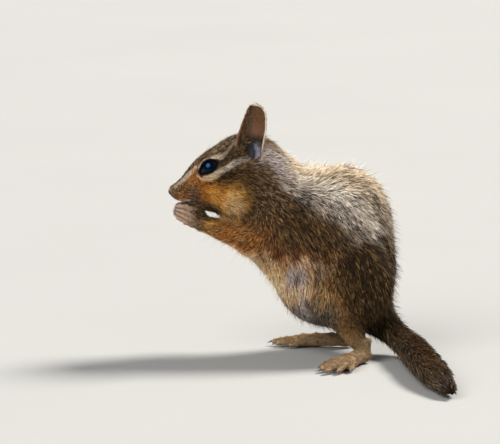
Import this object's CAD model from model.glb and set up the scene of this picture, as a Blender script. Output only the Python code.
"""A western chipmunk, life size, crouched on its hind feet with both hands at its mouth.

The forms are written in millimetres in the animal's own frame, with the head towards -X and its left side
towards -Y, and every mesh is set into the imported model's frame, in metres, when it is made.
"""

import logging
import math
from dataclasses import dataclass, field, fields
from enum import Enum
from typing import Callable, Sequence

import bpy
import numpy as np
from mathutils import Matrix, Vector


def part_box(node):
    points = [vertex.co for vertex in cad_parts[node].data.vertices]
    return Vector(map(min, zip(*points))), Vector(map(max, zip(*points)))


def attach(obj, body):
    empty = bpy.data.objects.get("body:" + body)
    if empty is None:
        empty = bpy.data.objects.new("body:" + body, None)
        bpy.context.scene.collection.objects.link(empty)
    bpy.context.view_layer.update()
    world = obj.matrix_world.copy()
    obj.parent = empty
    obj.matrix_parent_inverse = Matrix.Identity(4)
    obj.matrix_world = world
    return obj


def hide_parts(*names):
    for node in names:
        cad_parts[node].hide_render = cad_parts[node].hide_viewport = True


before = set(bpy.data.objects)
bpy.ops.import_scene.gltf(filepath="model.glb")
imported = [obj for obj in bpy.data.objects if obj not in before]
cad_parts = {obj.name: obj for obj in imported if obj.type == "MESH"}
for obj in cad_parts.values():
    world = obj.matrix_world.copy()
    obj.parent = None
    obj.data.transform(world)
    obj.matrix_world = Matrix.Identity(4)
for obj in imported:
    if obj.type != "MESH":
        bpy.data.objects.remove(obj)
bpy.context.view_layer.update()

LOG = logging.getLogger("chipmunk")
Array = np.ndarray
Triple = tuple[float, float, float]

MM = 0.001
SIDES = {"left": -1.0, "right": 1.0}
SEED = 20

# The spacing of the skin's grid, fine and coarse, in millimetres; how many tufts lie over each other; and
# the tufts of the brush of the tail: in full, and while the looks are only tried
FULL_GRID, QUICK_GRID = (0.42, 1.05), (0.6, 1.6)
FULL_OVERLAP, QUICK_OVERLAP = 6.0, 2.1
FULL_BRUSH, QUICK_BRUSH = 13000, 5000

HEAD_ROLL = math.radians(6)
HEAD_PIVOT_Z = 66.0
EYE_CENTRE = (-36.6, 8.5, 69.5)
EYE_RADIUS = 4.2
EYE_TILT = math.radians(32)
LID_RADIUS = 5.1
LID_LENGTH = 4.05
LID_HEIGHT = 2.68


# Small vector helpers


def unit(v: Array) -> Array:
    """The vectors along the last axis at length one."""
    return v / np.maximum(np.linalg.norm(v, axis=-1, keepdims=True), 1e-9)


def ramp(x: Array, low: float, high: float) -> Array:
    """A smooth step from 0 at low to 1 at high, which may be given in either order."""
    t = np.clip((x - low) / (high - low), 0, 1)
    return t * t * (3 - 2 * t)


def mixed(a: Array, b: Array, share: Array) -> Array:
    """a moved towards b by a share for each row."""
    return a + (b - a) * np.asarray(share)[..., None]


def all_over(colour: Array, points: Array) -> Array:
    """One colour for each of the points."""
    return np.repeat(np.asarray(colour)[None], len(points), 0)


def even(points: Array, value: float) -> Array:
    """One number for each of the points."""
    return np.full(len(points), value)


def nearest(forms: Sequence["Blend"], x: Array, y: Array, z: Array) -> Array:
    """The distance from the nearer of two forms."""
    return np.minimum(*(form.distance(x, y, z) for form in forms))


def mirrored(point: Sequence[float], side: float) -> Triple:
    """A point of the right half, on the side asked for."""
    return (point[0], side * point[1], point[2])


def rolled(x: Array, y: Array, z: Array) -> tuple[Array, Array, Array]:
    """Places of the animal in the frame of its head before the head is rolled."""
    c, s = math.cos(HEAD_ROLL), math.sin(HEAD_ROLL)
    dz = z - HEAD_PIVOT_Z
    return x, y * c - dz * s, HEAD_PIVOT_Z + dz * c + y * s


def head_pose() -> Matrix:
    """The turn that sets a form of the head's own frame into the animal."""
    there = Matrix.Translation((0, 0, HEAD_PIVOT_Z))
    return there @ Matrix.Rotation(-HEAD_ROLL, 4, "X") @ there.inverted()


def posed(points: Array) -> Array:
    """Points of the head's own frame, in the animal's."""
    pose = np.array(head_pose())
    return points @ pose[:3, :3].T + pose[:3, 3]


def noise(points: Array, size: float, seed: int) -> Array:
    """A smooth wandering value of about -1 to 1 over points, its waves about size across."""
    rng = np.random.default_rng(seed)
    total = np.zeros(len(points))
    for octave in (1.0, 1.9, 3.1):
        for _ in range(3):
            way = unit(rng.normal(size=3)) * octave * 2 * math.pi / size / 1.5
            total += np.sin(points @ way + rng.uniform(0, 6.28)) / octave
    return total / 3


# Forms: distances in millimetres, negative inside


@dataclass(frozen=True)
class Ellipsoid:
    """A ball stretched along three axes, its long axis pitched up by degrees at its +X end."""

    centre: Triple
    radii: Triple
    pitch: float = 0.0

    def distance(self, x: Array, y: Array, z: Array) -> Array:
        """The distance from each place, nearly true close to the surface."""
        a = math.radians(self.pitch)
        px, py, pz = x - self.centre[0], y - self.centre[1], z - self.centre[2]
        tx = px * math.cos(a) + pz * math.sin(a)
        tz = pz * math.cos(a) - px * math.sin(a)
        rx, ry, rz = self.radii
        near = np.sqrt((tx / rx) ** 2 + (py / ry) ** 2 + (tz / rz) ** 2)
        slope = np.sqrt((tx / rx**2) ** 2 + (py / ry**2) ** 2 + (tz / rz**2) ** 2)
        return near * (near - 1) / np.maximum(slope, 1e-6)


@dataclass(frozen=True)
class Cone:
    """A round bar between two points, with a radius at each."""

    start: Triple
    start_radius: float
    end: Triple
    end_radius: float

    def distance(self, x: Array, y: Array, z: Array) -> Array:
        """The distance from each place."""
        ax, ay, az = (b - a for a, b in zip(self.start, self.end))
        px, py, pz = x - self.start[0], y - self.start[1], z - self.start[2]
        t = np.clip((px * ax + py * ay + pz * az) / (ax * ax + ay * ay + az * az), 0, 1)
        reach = np.sqrt((px - t * ax) ** 2 + (py - t * ay) ** 2 + (pz - t * az) ** 2)
        return reach - self.start_radius - t * (self.end_radius - self.start_radius)


@dataclass(frozen=True)
class Paired:
    """A form of the right half that stands on both sides."""

    form: Ellipsoid | Cone

    def distance(self, x: Array, y: Array, z: Array) -> Array:
        """The distance from each place."""
        return self.form.distance(x, np.abs(y), z)


def smooth(a: Array, b: Array, width: float) -> Array:
    """Two distances joined with a fillet of about the width."""
    h = np.maximum(width - np.abs(a - b), 0) / width
    return np.minimum(a, b) - h * h * width / 4


@dataclass(frozen=True)
class Blend:
    """Forms joined one after another, each with its own fillet."""

    parts: tuple[tuple[object, float], ...]

    def distance(self, x: Array, y: Array, z: Array) -> Array:
        """The distance from each place."""
        total = self.parts[0][0].distance(x, y, z)
        for form, width in self.parts[1:]:
            total = smooth(total, form.distance(x, y, z), width)
        return total


HEAD = Blend((
    (Ellipsoid((-24.6, 0, 70.4), (13.0, 11.8, 11.4)), 0),
    (Ellipsoid((-35.5, 0, 66.5), (11.5, 9.2, 8.9), 38), 4),
    (Cone((-37.5, 0, 65.2), 8.1, (-48.6, 0, 61.1), 3.2), 2.5),
    (Ellipsoid((-50.9, 0, 60.9), (1.7, 2.1, 1.7), 30), 1.2),
    (Paired(Ellipsoid((-45.4, 2.6, 59.9), (4.9, 3.1, 3.1))), 2),
    (Cone((-36.0, 0, 57.7), 4.6, (-43.3, 0, 56.8), 2.55), 1.6),
    (Paired(Ellipsoid((-28.5, 6.2, 62.0), (10.4, 7.2, 9.2), -20)), 5),
    (Paired(Ellipsoid((-35.0, 5.6, 70.0), (7.8, 5.0, 6.0), 32)), 3),
    (Paired(Ellipsoid(EYE_CENTRE, (LID_RADIUS, LID_RADIUS, LID_RADIUS))), 2.2),
    (Paired(Ellipsoid((-21.6, 8.4, 76.4), (4.2, 2.4, 3.8))), 3),
))

TRUNK = Blend((
    (Cone((-21.5, 0, 69.0), 12.8, (-7, 0, 55), 14.5), 0),
    (Ellipsoid((-22.5, 0, 54.0), (10.2, 10.5, 11.5), -40), 6),
    (Ellipsoid((-11.0, 0, 44.5), (14.2, 15.2, 16.5), 40), 8),
    (Paired(Ellipsoid((-9.0, 8.5, 50.0), (10.5, 8.2, 13.0), -20)), 6),
    (Ellipsoid((11.5, 0, 49.5), (19.2, 17.5, 21.6)), 8),
    (Ellipsoid((3.0, 0, 30.5), (16.8, 17.0, 19.8), 12), 8),
    (Ellipsoid((16.0, 0, 31.0), (16.3, 18.5, 21.0)), 8),
    (Cone((20, 1, 18), 8.5, (31, -1.4, 8.2), 5.6), 6),
))

SHOULDER, ELBOW = (-13.5, 10.4, 50.5), (-21.5, 12.4, 43.6)
WRIST, PALM = (-39.8, 6.0, 49.6), (-43.0, 5.5, 51.4)
RIGHT_WRIST_DROP = 1.7


def wrist(side: float) -> Triple:
    """The wrist of one side: the right one is held a little lower."""
    return (WRIST[0], side * WRIST[1], WRIST[2] - RIGHT_WRIST_DROP * (side > 0))


def arm(side: float) -> Blend:
    """One fore limb from the shoulder to the wrist."""
    elbow = mirrored(ELBOW, side)
    return Blend((
        (Cone(mirrored(SHOULDER, side), 8.2, elbow, 5.4), 0),
        (Cone(elbow, 5.4, wrist(side), 2.8), 2.5),
    ))


TOP_FINGER = ((-42.6, 5.6, 54.3), (-45.6, 5.6, 55.7), (-48.0, 4.4, 55.9), (-49.0, 2.6, 55.4))
LOW_FINGER = ((-42.8, 5.6, 48.9), (-45.9, 5.6, 50.0), (-48.7, 4.3, 51.6), (-49.8, 2.4, 52.6))
THUMB = ((-43.4, 4.6, 52.6), (-45.3, 3.2, 53.6), (-46.3, 2.5, 54.0), (-46.9, 2.2, 54.1))


def finger_bones(side: float) -> list[list[Triple]]:
    """The joints of the four fingers from the top one down, and then of the thumb."""
    top, low = np.array(TOP_FINGER), np.array(LOW_FINGER)
    lines = [top + (low - top) * share for share in (0, 1 / 3, 2 / 3, 1)] + [np.array(THUMB)]
    return [[mirrored(p, side) for p in line] for line in lines]


def hand(side: float) -> Blend:
    """One hand: wrist, palm and curled fingers with their pads."""
    parts = [
        (Cone(wrist(side), 2.6, mirrored(PALM, side), 2.3), 0),
        (Ellipsoid(mirrored((-43.4, 5.4, 52.0), side), (3.3, 1.7, 3.8), 25), 1.5),
    ]
    for bones in finger_bones(side):
        for start, end, thick in zip(bones, bones[1:], (0.84, 0.78, 0.68)):
            parts.append((Cone(start, thick, end, thick * 0.94), 0.25))
            parts.append((Ellipsoid(end, (thick * 1.12,) * 3), 0.2))
    return Blend(tuple(parts))


@dataclass(frozen=True)
class HindPose:
    """Where one hind foot stands: its heel on the floor and how far it is splayed."""

    side: float
    heel: tuple[float, float]
    splay: float

    def along(self, d: float, z: float, across: float = 0.0) -> Triple:
        """The point at a distance from the heel towards the toes, and to the outer side."""
        c, s = math.cos(self.splay), math.sin(self.splay)
        x = self.heel[0] - d * c + across * s
        y = self.heel[1] + self.side * (d * s) + across * self.side * c
        return (x, y, z)


HIND = {
    "left": HindPose(-1.0, (19.5, -17.5), math.radians(60)),
    "right": HindPose(1.0, (14.0, 15.5), math.radians(8)),
}
TOE_SPREADS = (-0.34, -0.16, 0.0, 0.16, 0.36)
TOE_LENGTHS = (8.2, 11.2, 12.0, 11.2, 7.6)
TOE_ROOTS = (-3.2, -1.7, 0.0, 1.7, 3.2)
TOE_WIDTH = 1.12
TOE_CLAW = 2.6
INSTEP = 33 - 2.9 - TOE_LENGTHS[2] - TOE_CLAW


def toe_bones(pose: HindPose) -> list[list[Triple]]:
    """The joints of the five toes of one foot, each with the tip of its claw last."""
    ahead = np.array([-math.cos(pose.splay), pose.side * math.sin(pose.splay), 0])
    across = np.array([-ahead[1], ahead[0], 0])
    heel = np.array([*pose.heel, 0.0])
    lines = []
    for spread, length, root in zip(TOE_SPREADS, TOE_LENGTHS, TOE_ROOTS):
        way = ahead * math.cos(spread) + across * math.sin(spread)
        start = heel + ahead * (INSTEP - abs(root) * 0.7) + across * root
        rows = [(-1.5, 1.7), (0.38 * length, 2.0), (0.72 * length, 1.5), (length, 1.05)]
        line = [tuple(start + way * d + np.array([0, 0, z])) for d, z in rows]
        line.append(tuple(start + way * (length + TOE_CLAW) + np.array([0, 0, 0.3])))
        lines.append(line)
    return lines


def leg(pose: HindPose) -> Blend:
    """One hind limb: thigh, knee and shin."""
    side = pose.side
    ankle = (pose.heel[0] - 0.5, pose.heel[1], 4.2)
    return Blend((
        (Ellipsoid(mirrored((17.0, 13.2, 28.0), side), (14.0, 8.8, 17.0), -12), 0),
        (Ellipsoid(mirrored((8.8, 15.8, 23.0), side), (8.2, 6.6, 9.6), -30), 5),
        (Cone(mirrored((12.5, 17.0, 16.5), side), 5.8, ankle, 2.7), 4),
    ))


def foot(pose: HindPose) -> Blend:
    """One hind foot: heel, sole and toes, with the ankle that rises from it."""
    places, levels = (-1.4, -0.4, 5, 11, 16, 18.5), (2.1, 2.2, 2.3, 2.1, 1.8, 1.6)
    radii = (1.7, 2.3, 2.2, 2.1, 1.9, 1.4)
    parts = [(Cone(pose.along(0.3, 2.2), 2.1, pose.along(-0.3, 9), 2.6), 0)]
    for i in range(len(places) - 1):
        for across in ((0.0,) if i < 2 else (-1.0, 1.0)):
            wide = across * (0.4, 0.4, 0.5, 1.1, 1.7, 1.7)[i]
            wide_next = across * (0.4, 0.4, 0.5, 1.1, 1.7, 1.7)[i + 1]
            start = pose.along(places[i], levels[i], wide)
            end = pose.along(places[i + 1], levels[i + 1], wide_next)
            parts.append((Cone(start, radii[i], end, radii[i + 1]), 1.0))
    for line in toe_bones(pose):
        for start, end, share in zip(line[:3], line[1:4], (1.0, 0.92, 0.84)):
            parts.append((Cone(start, TOE_WIDTH * share, end, TOE_WIDTH * share * 0.9), 0.7))
    return Blend(tuple(parts))


ARMS = tuple(arm(side) for side in SIDES.values())
HANDS = tuple(hand(side) for side in SIDES.values())
LEGS = tuple(leg(pose) for pose in HIND.values())


# What the coat does over the body: its lie, its depth and the length of its hairs


@dataclass(frozen=True)
class Guide:
    """The coat at one place of the right half: its lie, its depth and the length of its hairs."""

    at: Triple
    lie: Triple
    depth: float
    length: float


GUIDES = (
    Guide((-51, 1, 62), (0.7, 0.1, 0.7), 0.12, 0.8),
    Guide((-47, 0, 67), (0.7, 0.0, 0.7), 0.3, 1.3),
    Guide((-46, 4, 61), (0.95, 0.3, 0.05), 0.3, 1.2),
    Guide((-48, 3, 58), (0.8, 0.2, -0.4), 0.2, 0.8),
    Guide((-40, 4, 74), (0.75, 0.0, 0.65), 0.45, 1.7),
    Guide((-30, 0, 81), (0.95, 0.0, 0.3), 0.8, 2.5),
    Guide((-41, 7, 68), (0.8, 0.3, 0.4), 0.25, 1.1),
    Guide((-37, 9, 64), (0.95, 0.25, 0.0), 0.5, 1.7),
    Guide((-30, 10.5, 73), (0.9, 0.2, 0.25), 0.45, 1.9),
    Guide((-31, 11, 64), (0.95, 0.1, -0.15), 1.0, 2.4),
    Guide((-41, 2, 55), (0.9, 0.1, -0.2), 0.4, 1.5),
    Guide((-34, 6, 56), (0.95, 0.1, -0.2), 0.9, 2.5),
    Guide((-23, 12, 64), (0.85, 0.1, -0.4), 1.5, 3.2),
    Guide((-24, 9.5, 77), (0.6, 0.0, 0.6), 0.4, 1.7),
    Guide((-17, 9, 76), (0.9, 0.0, -0.3), 1.1, 2.9),
    Guide((-14, 0, 81), (0.85, 0.0, -0.5), 1.6, 3.8),
    Guide((-13, 13, 66), (0.75, 0.0, -0.65), 1.8, 3.8),
    Guide((-28, 5, 50), (0.7, 0.1, -0.6), 1.4, 2.9),
    Guide((-8, 16, 52), (0.55, 0.0, -0.85), 1.9, 4.2),
    Guide((2, 0, 69.5), (1.0, 0.0, -0.05), 2.2, 4.5),
    Guide((15, 0, 71), (0.95, 0.0, -0.1), 2.4, 4.9),
    Guide((27, 0, 59), (0.5, 0.0, -0.85), 2.4, 5.2),
    Guide((31, 0, 42), (0.05, 0.0, -1.0), 2.4, 5.2),
    Guide((30, 0, 22), (0.1, 0.0, -1.0), 2.2, 4.5),
    Guide((3, 17, 42), (0.6, 0.0, -0.8), 2.2, 4.5),
    Guide((14, 17, 52), (0.65, 0.0, -0.75), 2.3, 4.9),
    Guide((20, 21, 32), (0.2, 0.0, -0.98), 2.0, 4.5),
    Guide((5, 20, 22), (0.2, -0.1, -0.95), 1.6, 3.5),
    Guide((13, 19, 12), (0.3, 0.0, -0.9), 0.9, 2.2),
    Guide((17, 17, 7), (0.0, 0.0, -1.0), 0.4, 1.4),
    Guide((-16, 5, 28), (0.55, 0.0, -0.8), 1.8, 4.2),
    Guide((-3, 5, 13), (0.7, 0.0, -0.6), 1.8, 3.8),
    Guide((12, 5, 9), (1.0, 0.0, -0.1), 1.4, 3.1),
    Guide((-27, 4, 42), (0.6, 0.0, -0.75), 1.6, 3.5),
    Guide((-22, 16, 43), (-0.5, 0.0, -0.5), 1.2, 2.8),
    Guide((-32, 10, 46), (-0.9, 0.0, 0.15), 0.8, 2.2),
    Guide((-40, 7, 48.5), (-0.85, 0.0, 0.4), 0.3, 1.2),
    Guide((27, 3, 12), (0.5, 0.0, -0.85), 1.8, 3.5),
)
GUIDE_REACH = 7.5


@dataclass
class CoatRule:
    """Reads the guides at any place of the body."""

    guides: tuple[Guide, ...] = GUIDES
    reach: float = GUIDE_REACH

    def weights(self, points: Array) -> Array:
        """The share of each guide at each point.

        Args:
            points: places in millimetres, one a row.

        Returns:
            One row of shares for each point, which add to one.
        """
        at = np.array([g.at for g in self.guides])
        here = np.column_stack([points[:, 0], np.abs(points[:, 1]), points[:, 2]])
        far = ((here[:, None, :] - at[None]) ** 2).sum(2)
        far -= far.min(1, keepdims=True)
        share = np.exp(-far / self.reach**2)
        return share / share.sum(1, keepdims=True)

    def depth(self, points: Array) -> Array:
        """How far the skin lies under the tips of the coat."""
        return self.weights(points) @ np.array([g.depth for g in self.guides])

    def length(self, points: Array) -> Array:
        """The length of the hairs."""
        return self.weights(points) @ np.array([g.length for g in self.guides])

    def lie(self, points: Array) -> Array:
        """The way in which the coat lies, not yet laid on the surface."""
        way = self.weights(points) @ np.array([g.lie for g in self.guides])
        way[:, 1] *= np.sign(points[:, 1])
        return unit(way)


@dataclass(frozen=True)
class EyeFrame:
    """The place and directions of one eye: ahead along its slit, out of the head and up."""

    side: float

    def axes(self) -> tuple[Array, Array, Array, Array]:
        """The centre, and the three directions, in the animal's frame."""
        out = unit(np.array([-0.2, self.side * 0.95, 0.2]))
        ahead = np.array([-math.cos(EYE_TILT), 0, -math.sin(EYE_TILT)])
        ahead = unit(ahead - out * (ahead @ out))
        up = np.cross(ahead, out)
        up = up if up[2] > 0 else -up
        turn = np.array(head_pose())[:3, :3]
        centre = posed(np.array([mirrored(EYE_CENTRE, self.side)]))[0]
        return centre, turn @ ahead, turn @ out, turn @ up

    def local(self, x: Array, y: Array, z: Array) -> tuple[Array, Array, Array]:
        """Places in the eye's own frame."""
        centre, *axes = self.axes()
        p = (x - centre[0], y - centre[1], z - centre[2])
        return tuple(p[0] * a[0] + p[1] * a[1] + p[2] * a[2] for a in axes)


def slit_gap(ahead: Array, out: Array, up: Array) -> Array:
    """How far places of the eye's own frame lie outside the slit between the lids, along the lid."""
    scale = LID_RADIUS / np.maximum(np.sqrt(ahead**2 + out**2 + up**2), 1)
    x, z = ahead * scale / LID_LENGTH, up * scale / LID_HEIGHT
    x = x / (1 + 0.16 * np.clip(x, 0, 1.2) ** 4)
    z = z / (1 - 0.26 * np.clip(x, -1, 1) ** 2)
    return np.where(out > 0, (np.hypot(x, z) - 1) * LID_HEIGHT, 9.0)


def almond(angle: Array) -> tuple[Array, Array]:
    """The outline of the slit between the lids round its middle, along the slit and up."""
    x = LID_LENGTH * np.cos(angle) * (1 + 0.16 * np.maximum(np.cos(angle), 0) ** 4)
    z = LID_HEIGHT * np.sin(angle) * (1 - 0.26 * np.cos(angle) ** 2)
    return x, z


@dataclass
class Body:
    """The whole animal as one distance: out to the tips of its coat, and down to its skin."""

    coat: CoatRule = field(default_factory=CoatRule)
    lip_gap: float = 0.34
    lip_depth: float = 0.95
    mouth_corner: float = -38.6
    split_gap: float = 0.28
    split_depth: float = 0.6

    def outline(self, x: Array, y: Array, z: Array) -> Array:
        """The distance from the tips of the coat."""
        trunk = TRUNK.distance(x, y, z)
        total = smooth(trunk, HEAD.distance(*rolled(x, y, z)), 4)
        for form in LEGS:
            total = smooth(total, form.distance(x, y, z), 3.5)
        for form in ARMS:
            trunk = smooth(trunk, form.distance(x, y, z), 3)
        return smooth(total, trunk, 0.6)

    def at(self, points: Array) -> Array:
        """The distance of points from the tips of the coat."""
        return self.outline(points[:, 0], points[:, 1], points[:, 2])

    def detail(self, total: Array, x: Array, y: Array, z: Array) -> Array:
        """The hands added, and the eye sockets, mouth and nostrils cut, in a distance from the skin."""
        for side in SIDES.values():
            total = smooth(total, hand(side).distance(x, y, z), 0.9)
            ex, ey, ez = EyeFrame(side).local(x, y, z)
            ball = np.sqrt(ex**2 + ey**2 + ez**2)
            total = np.maximum(total, EYE_RADIUS + 0.05 - ball)
            total = np.maximum(total, -np.maximum(slit_gap(ex, ey, ez), 1.5 - ey))
        hx, hy, hz = rolled(x, y, z)
        for side in SIDES.values():
            pit = Cone(mirrored((-52.6, 1.15, 60.2), side), 0.72, mirrored((-50.2, 2.1, 59.9), side), 0.62)
            total = np.maximum(total, -pit.distance(hx, hy, hz))
        skin = total
        lips = 57.35 - 0.35 * np.cos((hx + 51) / 3.0) - 0.05 * np.abs(hy) - 0.06 * np.maximum(hx + 44, 0)
        line = np.maximum(np.abs(hz - lips) - self.lip_gap, hx - self.mouth_corner)
        total = np.maximum(total, -np.maximum(line, -self.lip_depth - skin))
        split = np.maximum(np.abs(hy) - self.split_gap, np.maximum(hz - 59.6, 57.0 - hz))
        return np.maximum(total, -np.maximum(split, -self.split_depth - skin))

    def skin(self, points: Array) -> Array:
        """The distance of points from the skin, with the face and hands in full."""
        x, y, z = points.T
        total = self.at(points) + self.coat.depth(points)
        return self.detail(total, x, y, z)


# Meshes


@dataclass
class Sheet:
    """A mesh in the making: points in millimetres, faces of three or four corners, and a colour a point."""

    points: Array
    faces: Array
    colours: Array | None = None
    patches: Array | None = None

    def triangles(self) -> Array:
        """The faces as triangles."""
        if self.faces.shape[1] == 3:
            return self.faces
        return np.vstack([self.faces[:, [0, 1, 2]], self.faces[:, [0, 2, 3]]])

    def normals(self) -> Array:
        """The direction out of the surface at each point."""
        tri = self.triangles()
        a, b, c = (self.points[tri[:, i]] for i in range(3))
        cross = np.cross(b - a, c - a)
        total = np.zeros_like(self.points)
        for i in range(3):
            for axis in range(3):
                total[:, axis] += np.bincount(tri[:, i], cross[:, axis], len(self.points))
        return unit(total)


def joined(sheets: Sequence[Sheet]) -> Sheet:
    """Several sheets of the same kind of face in one."""
    count, faces = 0, []
    for sheet in sheets:
        faces.append(sheet.faces + count)
        count += len(sheet.points)
    colours = [s.colours for s in sheets]
    patches = [s.patches for s in sheets]
    return Sheet(
        np.vstack([s.points for s in sheets]),
        np.vstack(faces),
        None if any(c is None for c in colours) else np.vstack(colours),
        None if any(p is None for p in patches) else np.vstack(patches),
    )


def polygonize(value: Callable[[Array, Array, Array], Array], lines: Sequence[Array]) -> Sheet:
    """The zero surface of a value over a box, in quads, one corner in each cell that it crosses.

    Args:
        value: gives a distance for places, which come as arrays that broadcast.
        lines: the places of the grid's planes along each axis, which may be uneven.

    Returns:
        The closed surface, its faces outwards.
    """
    xs, ys, zs = lines
    grid = value(xs[:, None, None], ys[None, :, None], zs[None, None, :])
    inside = grid < 0
    shape = np.array(grid.shape)
    keys, places, quads = [], [], []
    for axis in range(3):
        low = [slice(None)] * 3
        high = [slice(None)] * 3
        low[axis], high[axis] = slice(0, -1), slice(1, None)
        hit = np.argwhere(inside[tuple(low)] != inside[tuple(high)])
        ok = np.ones(len(hit), bool)
        for other in range(3):
            if other != axis:
                ok &= (hit[:, other] > 0) & (hit[:, other] < shape[other] - 1)
        hit = hit[ok]
        after = hit.copy()
        after[:, axis] += 1
        v0, v1 = grid[tuple(hit.T)], grid[tuple(after.T)]
        p = np.column_stack([lines[i][hit[:, i]] for i in range(3)])
        t = v0 / (v0 - v1)
        p[:, axis] += t * (lines[axis][after[:, axis]] - lines[axis][hit[:, axis]])
        b, c = (axis + 1) % 3, (axis + 2) % 3
        cells = []
        for sb, sc in ((0, 0), (1, 0), (1, 1), (0, 1)):
            cell = hit.copy()
            cell[:, b] -= sb
            cell[:, c] -= sc
            cells.append((cell[:, 0] * shape[1] + cell[:, 1]) * shape[2] + cell[:, 2])
            places.append(p)
        keys.extend(cells)
        quad = np.column_stack(cells)
        flip = ~(v0 < 0)
        quad[flip] = quad[flip][:, ::-1]
        quads.append(quad)
    key, place = np.concatenate(keys), np.vstack(places)
    names, index = np.unique(key, return_inverse=True)
    count = np.bincount(index)
    points = np.column_stack([np.bincount(index, place[:, i]) / count for i in range(3)])
    faces = np.searchsorted(names, np.vstack(quads))
    return Sheet(points, faces)


def settled(value: Callable[[Array], Array], points: Array, turns: int = 3, most: float = 0.35) -> Array:
    """Points moved along the slope of a value until they lie on its zero."""
    for _ in range(turns):
        here, slope = value(points), slopes(value, points)
        step = here[:, None] * slope / np.maximum((slope**2).sum(1, keepdims=True), 0.05)
        size = np.linalg.norm(step, axis=1, keepdims=True)
        points = points - step * np.minimum(1, most / np.maximum(size, 1e-9))
    return points


def slopes(value: Callable[[Array], Array], points: Array, e: float = 0.05) -> Array:
    """The slope of a value at points."""
    sides = []
    for axis in range(3):
        off = np.zeros(3)
        off[axis] = e
        sides.append((value(points + off) - value(points - off)) / (2 * e))
    return np.column_stack(sides)


def net(rows: int, columns: int, closed_rows: bool, closed_columns: bool) -> Array:
    """The quads between rows of points, which may close on themselves either way."""
    spans = np.arange(rows - (not closed_rows)), np.arange(columns - (not closed_columns))
    i, j = np.meshgrid(*spans, indexing="ij")
    i2, j2 = (i + 1) % rows, (j + 1) % columns
    corners = [i * columns + j, i * columns + j2, i2 * columns + j2, i2 * columns + j]
    return np.stack(corners, -1).reshape(-1, 4)


def lofted(rings: Array) -> Sheet:
    """A closed skin over rings of points, with a point in the middle of each end.

    Args:
        rings: points in an array of rings by points round by three.

    Returns:
        The surface, in triangles, its faces outwards.
    """
    rows, round_ = rings.shape[:2]
    quads = net(rows, round_, False, True)
    around = np.arange(round_)
    after = (around + 1) % round_
    last = (rows - 1) * round_
    points = np.vstack([rings.reshape(-1, 3), rings[0].mean(0), rings[-1].mean(0)])
    first_fan = np.column_stack([after, around, np.full(round_, len(points) - 2)])
    last_fan = np.column_stack([last + around, last + after, np.full(round_, len(points) - 1)])
    sheet = Sheet(points, np.vstack([quads[:, [0, 1, 2]], quads[:, [0, 2, 3]], first_fan, last_fan]))
    a, b, c = (sheet.points[sheet.faces[:, i]] for i in range(3))
    if np.einsum("ij,ij->i", np.cross(a, b), c).sum() < 0:
        sheet.faces = sheet.faces[:, ::-1]
    return sheet


def spline(points: Sequence[Sequence[float]], count: int) -> Array:
    """A smooth line of count points through a few."""
    p = np.array(points, float)
    p = np.vstack([2 * p[0] - p[1], p, 2 * p[-1] - p[-2]])
    t = np.linspace(0, len(points) - 1, count)
    i = np.minimum(t.astype(int), len(points) - 2)
    f = (t - i)[:, None]
    a, b, c, d = p[i], p[i + 1], p[i + 2], p[i + 3]
    return 0.5 * (2 * b + (c - a) * f + (2 * a - 5 * b + 4 * c - d) * f**2 + (3 * b - a - 3 * c + d) * f**3)


def tube(line: Array, widths: Array, heights: Array, sides: int, up: Triple = (0, 0, 1)) -> Sheet:
    """A tube round a line of points, wide across it and the up direction."""
    ahead = unit(np.gradient(line, axis=0))
    across = unit(np.cross(ahead, np.array(up, float)))
    top = np.cross(across, ahead)
    a = 2 * np.pi * (np.arange(sides) + 0.5) / sides
    ring = (
        np.cos(a)[None, :, None] * across[:, None] * np.asarray(widths)[:, None, None]
        + np.sin(a)[None, :, None] * top[:, None] * np.asarray(heights)[:, None, None]
    )
    return lofted(line[:, None] + ring)


# The run of the spine, and the markings


@dataclass(frozen=True)
class Spine:
    """The line that the body's stripes run along, seen from the side."""

    line: tuple[tuple[float, float], ...] = (
        (-54, 60), (-44, 62.5), (-35, 65.5), (-25, 68.5), (-14, 62), (-2, 54.5), (8, 48), (14, 38), (17, 26),
        (27, 12),
    )

    def place(self, points: Array) -> tuple[Array, Array]:
        """Where points lie along the spine and round it.

        Args:
            points: places in millimetres, one a row.

        Returns:
            The length from the nose, and the angle from the middle of the back in degrees.
        """
        line = np.array(self.line, float)
        spans = np.diff(line, axis=0)
        sizes = np.linalg.norm(spans, axis=1)
        starts = np.concatenate([[0], np.cumsum(sizes)])
        flat = points[:, [0, 2]]
        best = np.full(len(points), 1e9)
        along, rise = np.zeros(len(points)), np.zeros(len(points))
        for i, span in enumerate(spans):
            way = span / sizes[i]
            d = flat - line[i]
            t = np.clip(d @ way, 0, sizes[i])
            off = d - t[:, None] * way
            far = (off**2).sum(1)
            near = far < best
            best = np.where(near, far, best)
            along = np.where(near, starts[i] + t, along)
            rise = np.where(near, d @ np.array([-way[1], way[0]]), rise)
        angle = np.degrees(np.arctan2(np.abs(points[:, 1]), rise))
        return along, angle


def tone(red: float, green: float, blue: float) -> Array:
    """A colour given as it shows on a screen, as the light that it gives back."""
    c = np.array([red, green, blue]) / 255
    return np.where(c <= 0.04045, c / 12.92, ((c + 0.055) / 1.055) ** 2.4)


class Hue(Enum):
    """The coat's own colours."""

    BLACK = (30, 22, 16)
    UMBER = (62, 45, 28)
    BROWN = (106, 78, 49)
    GREY = (114, 96, 76)
    OLIVE = (96, 76, 43)
    RUST = (166, 98, 46)
    OCHRE = (206, 128, 42)
    BUFF = (220, 172, 108)
    TAN = (190, 160, 122)
    CREAM = (234, 208, 172)
    PALE = (242, 232, 216)
    GOLD = (244, 182, 92)
    PEACH = (236, 184, 132)
    LILAC = (206, 196, 196)
    SKIN = (180, 150, 132)
    DUSK = (78, 60, 52)

    @property
    def light(self) -> Array:
        """The colour as the light that it gives back."""
        return tone(*self.value)


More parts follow.
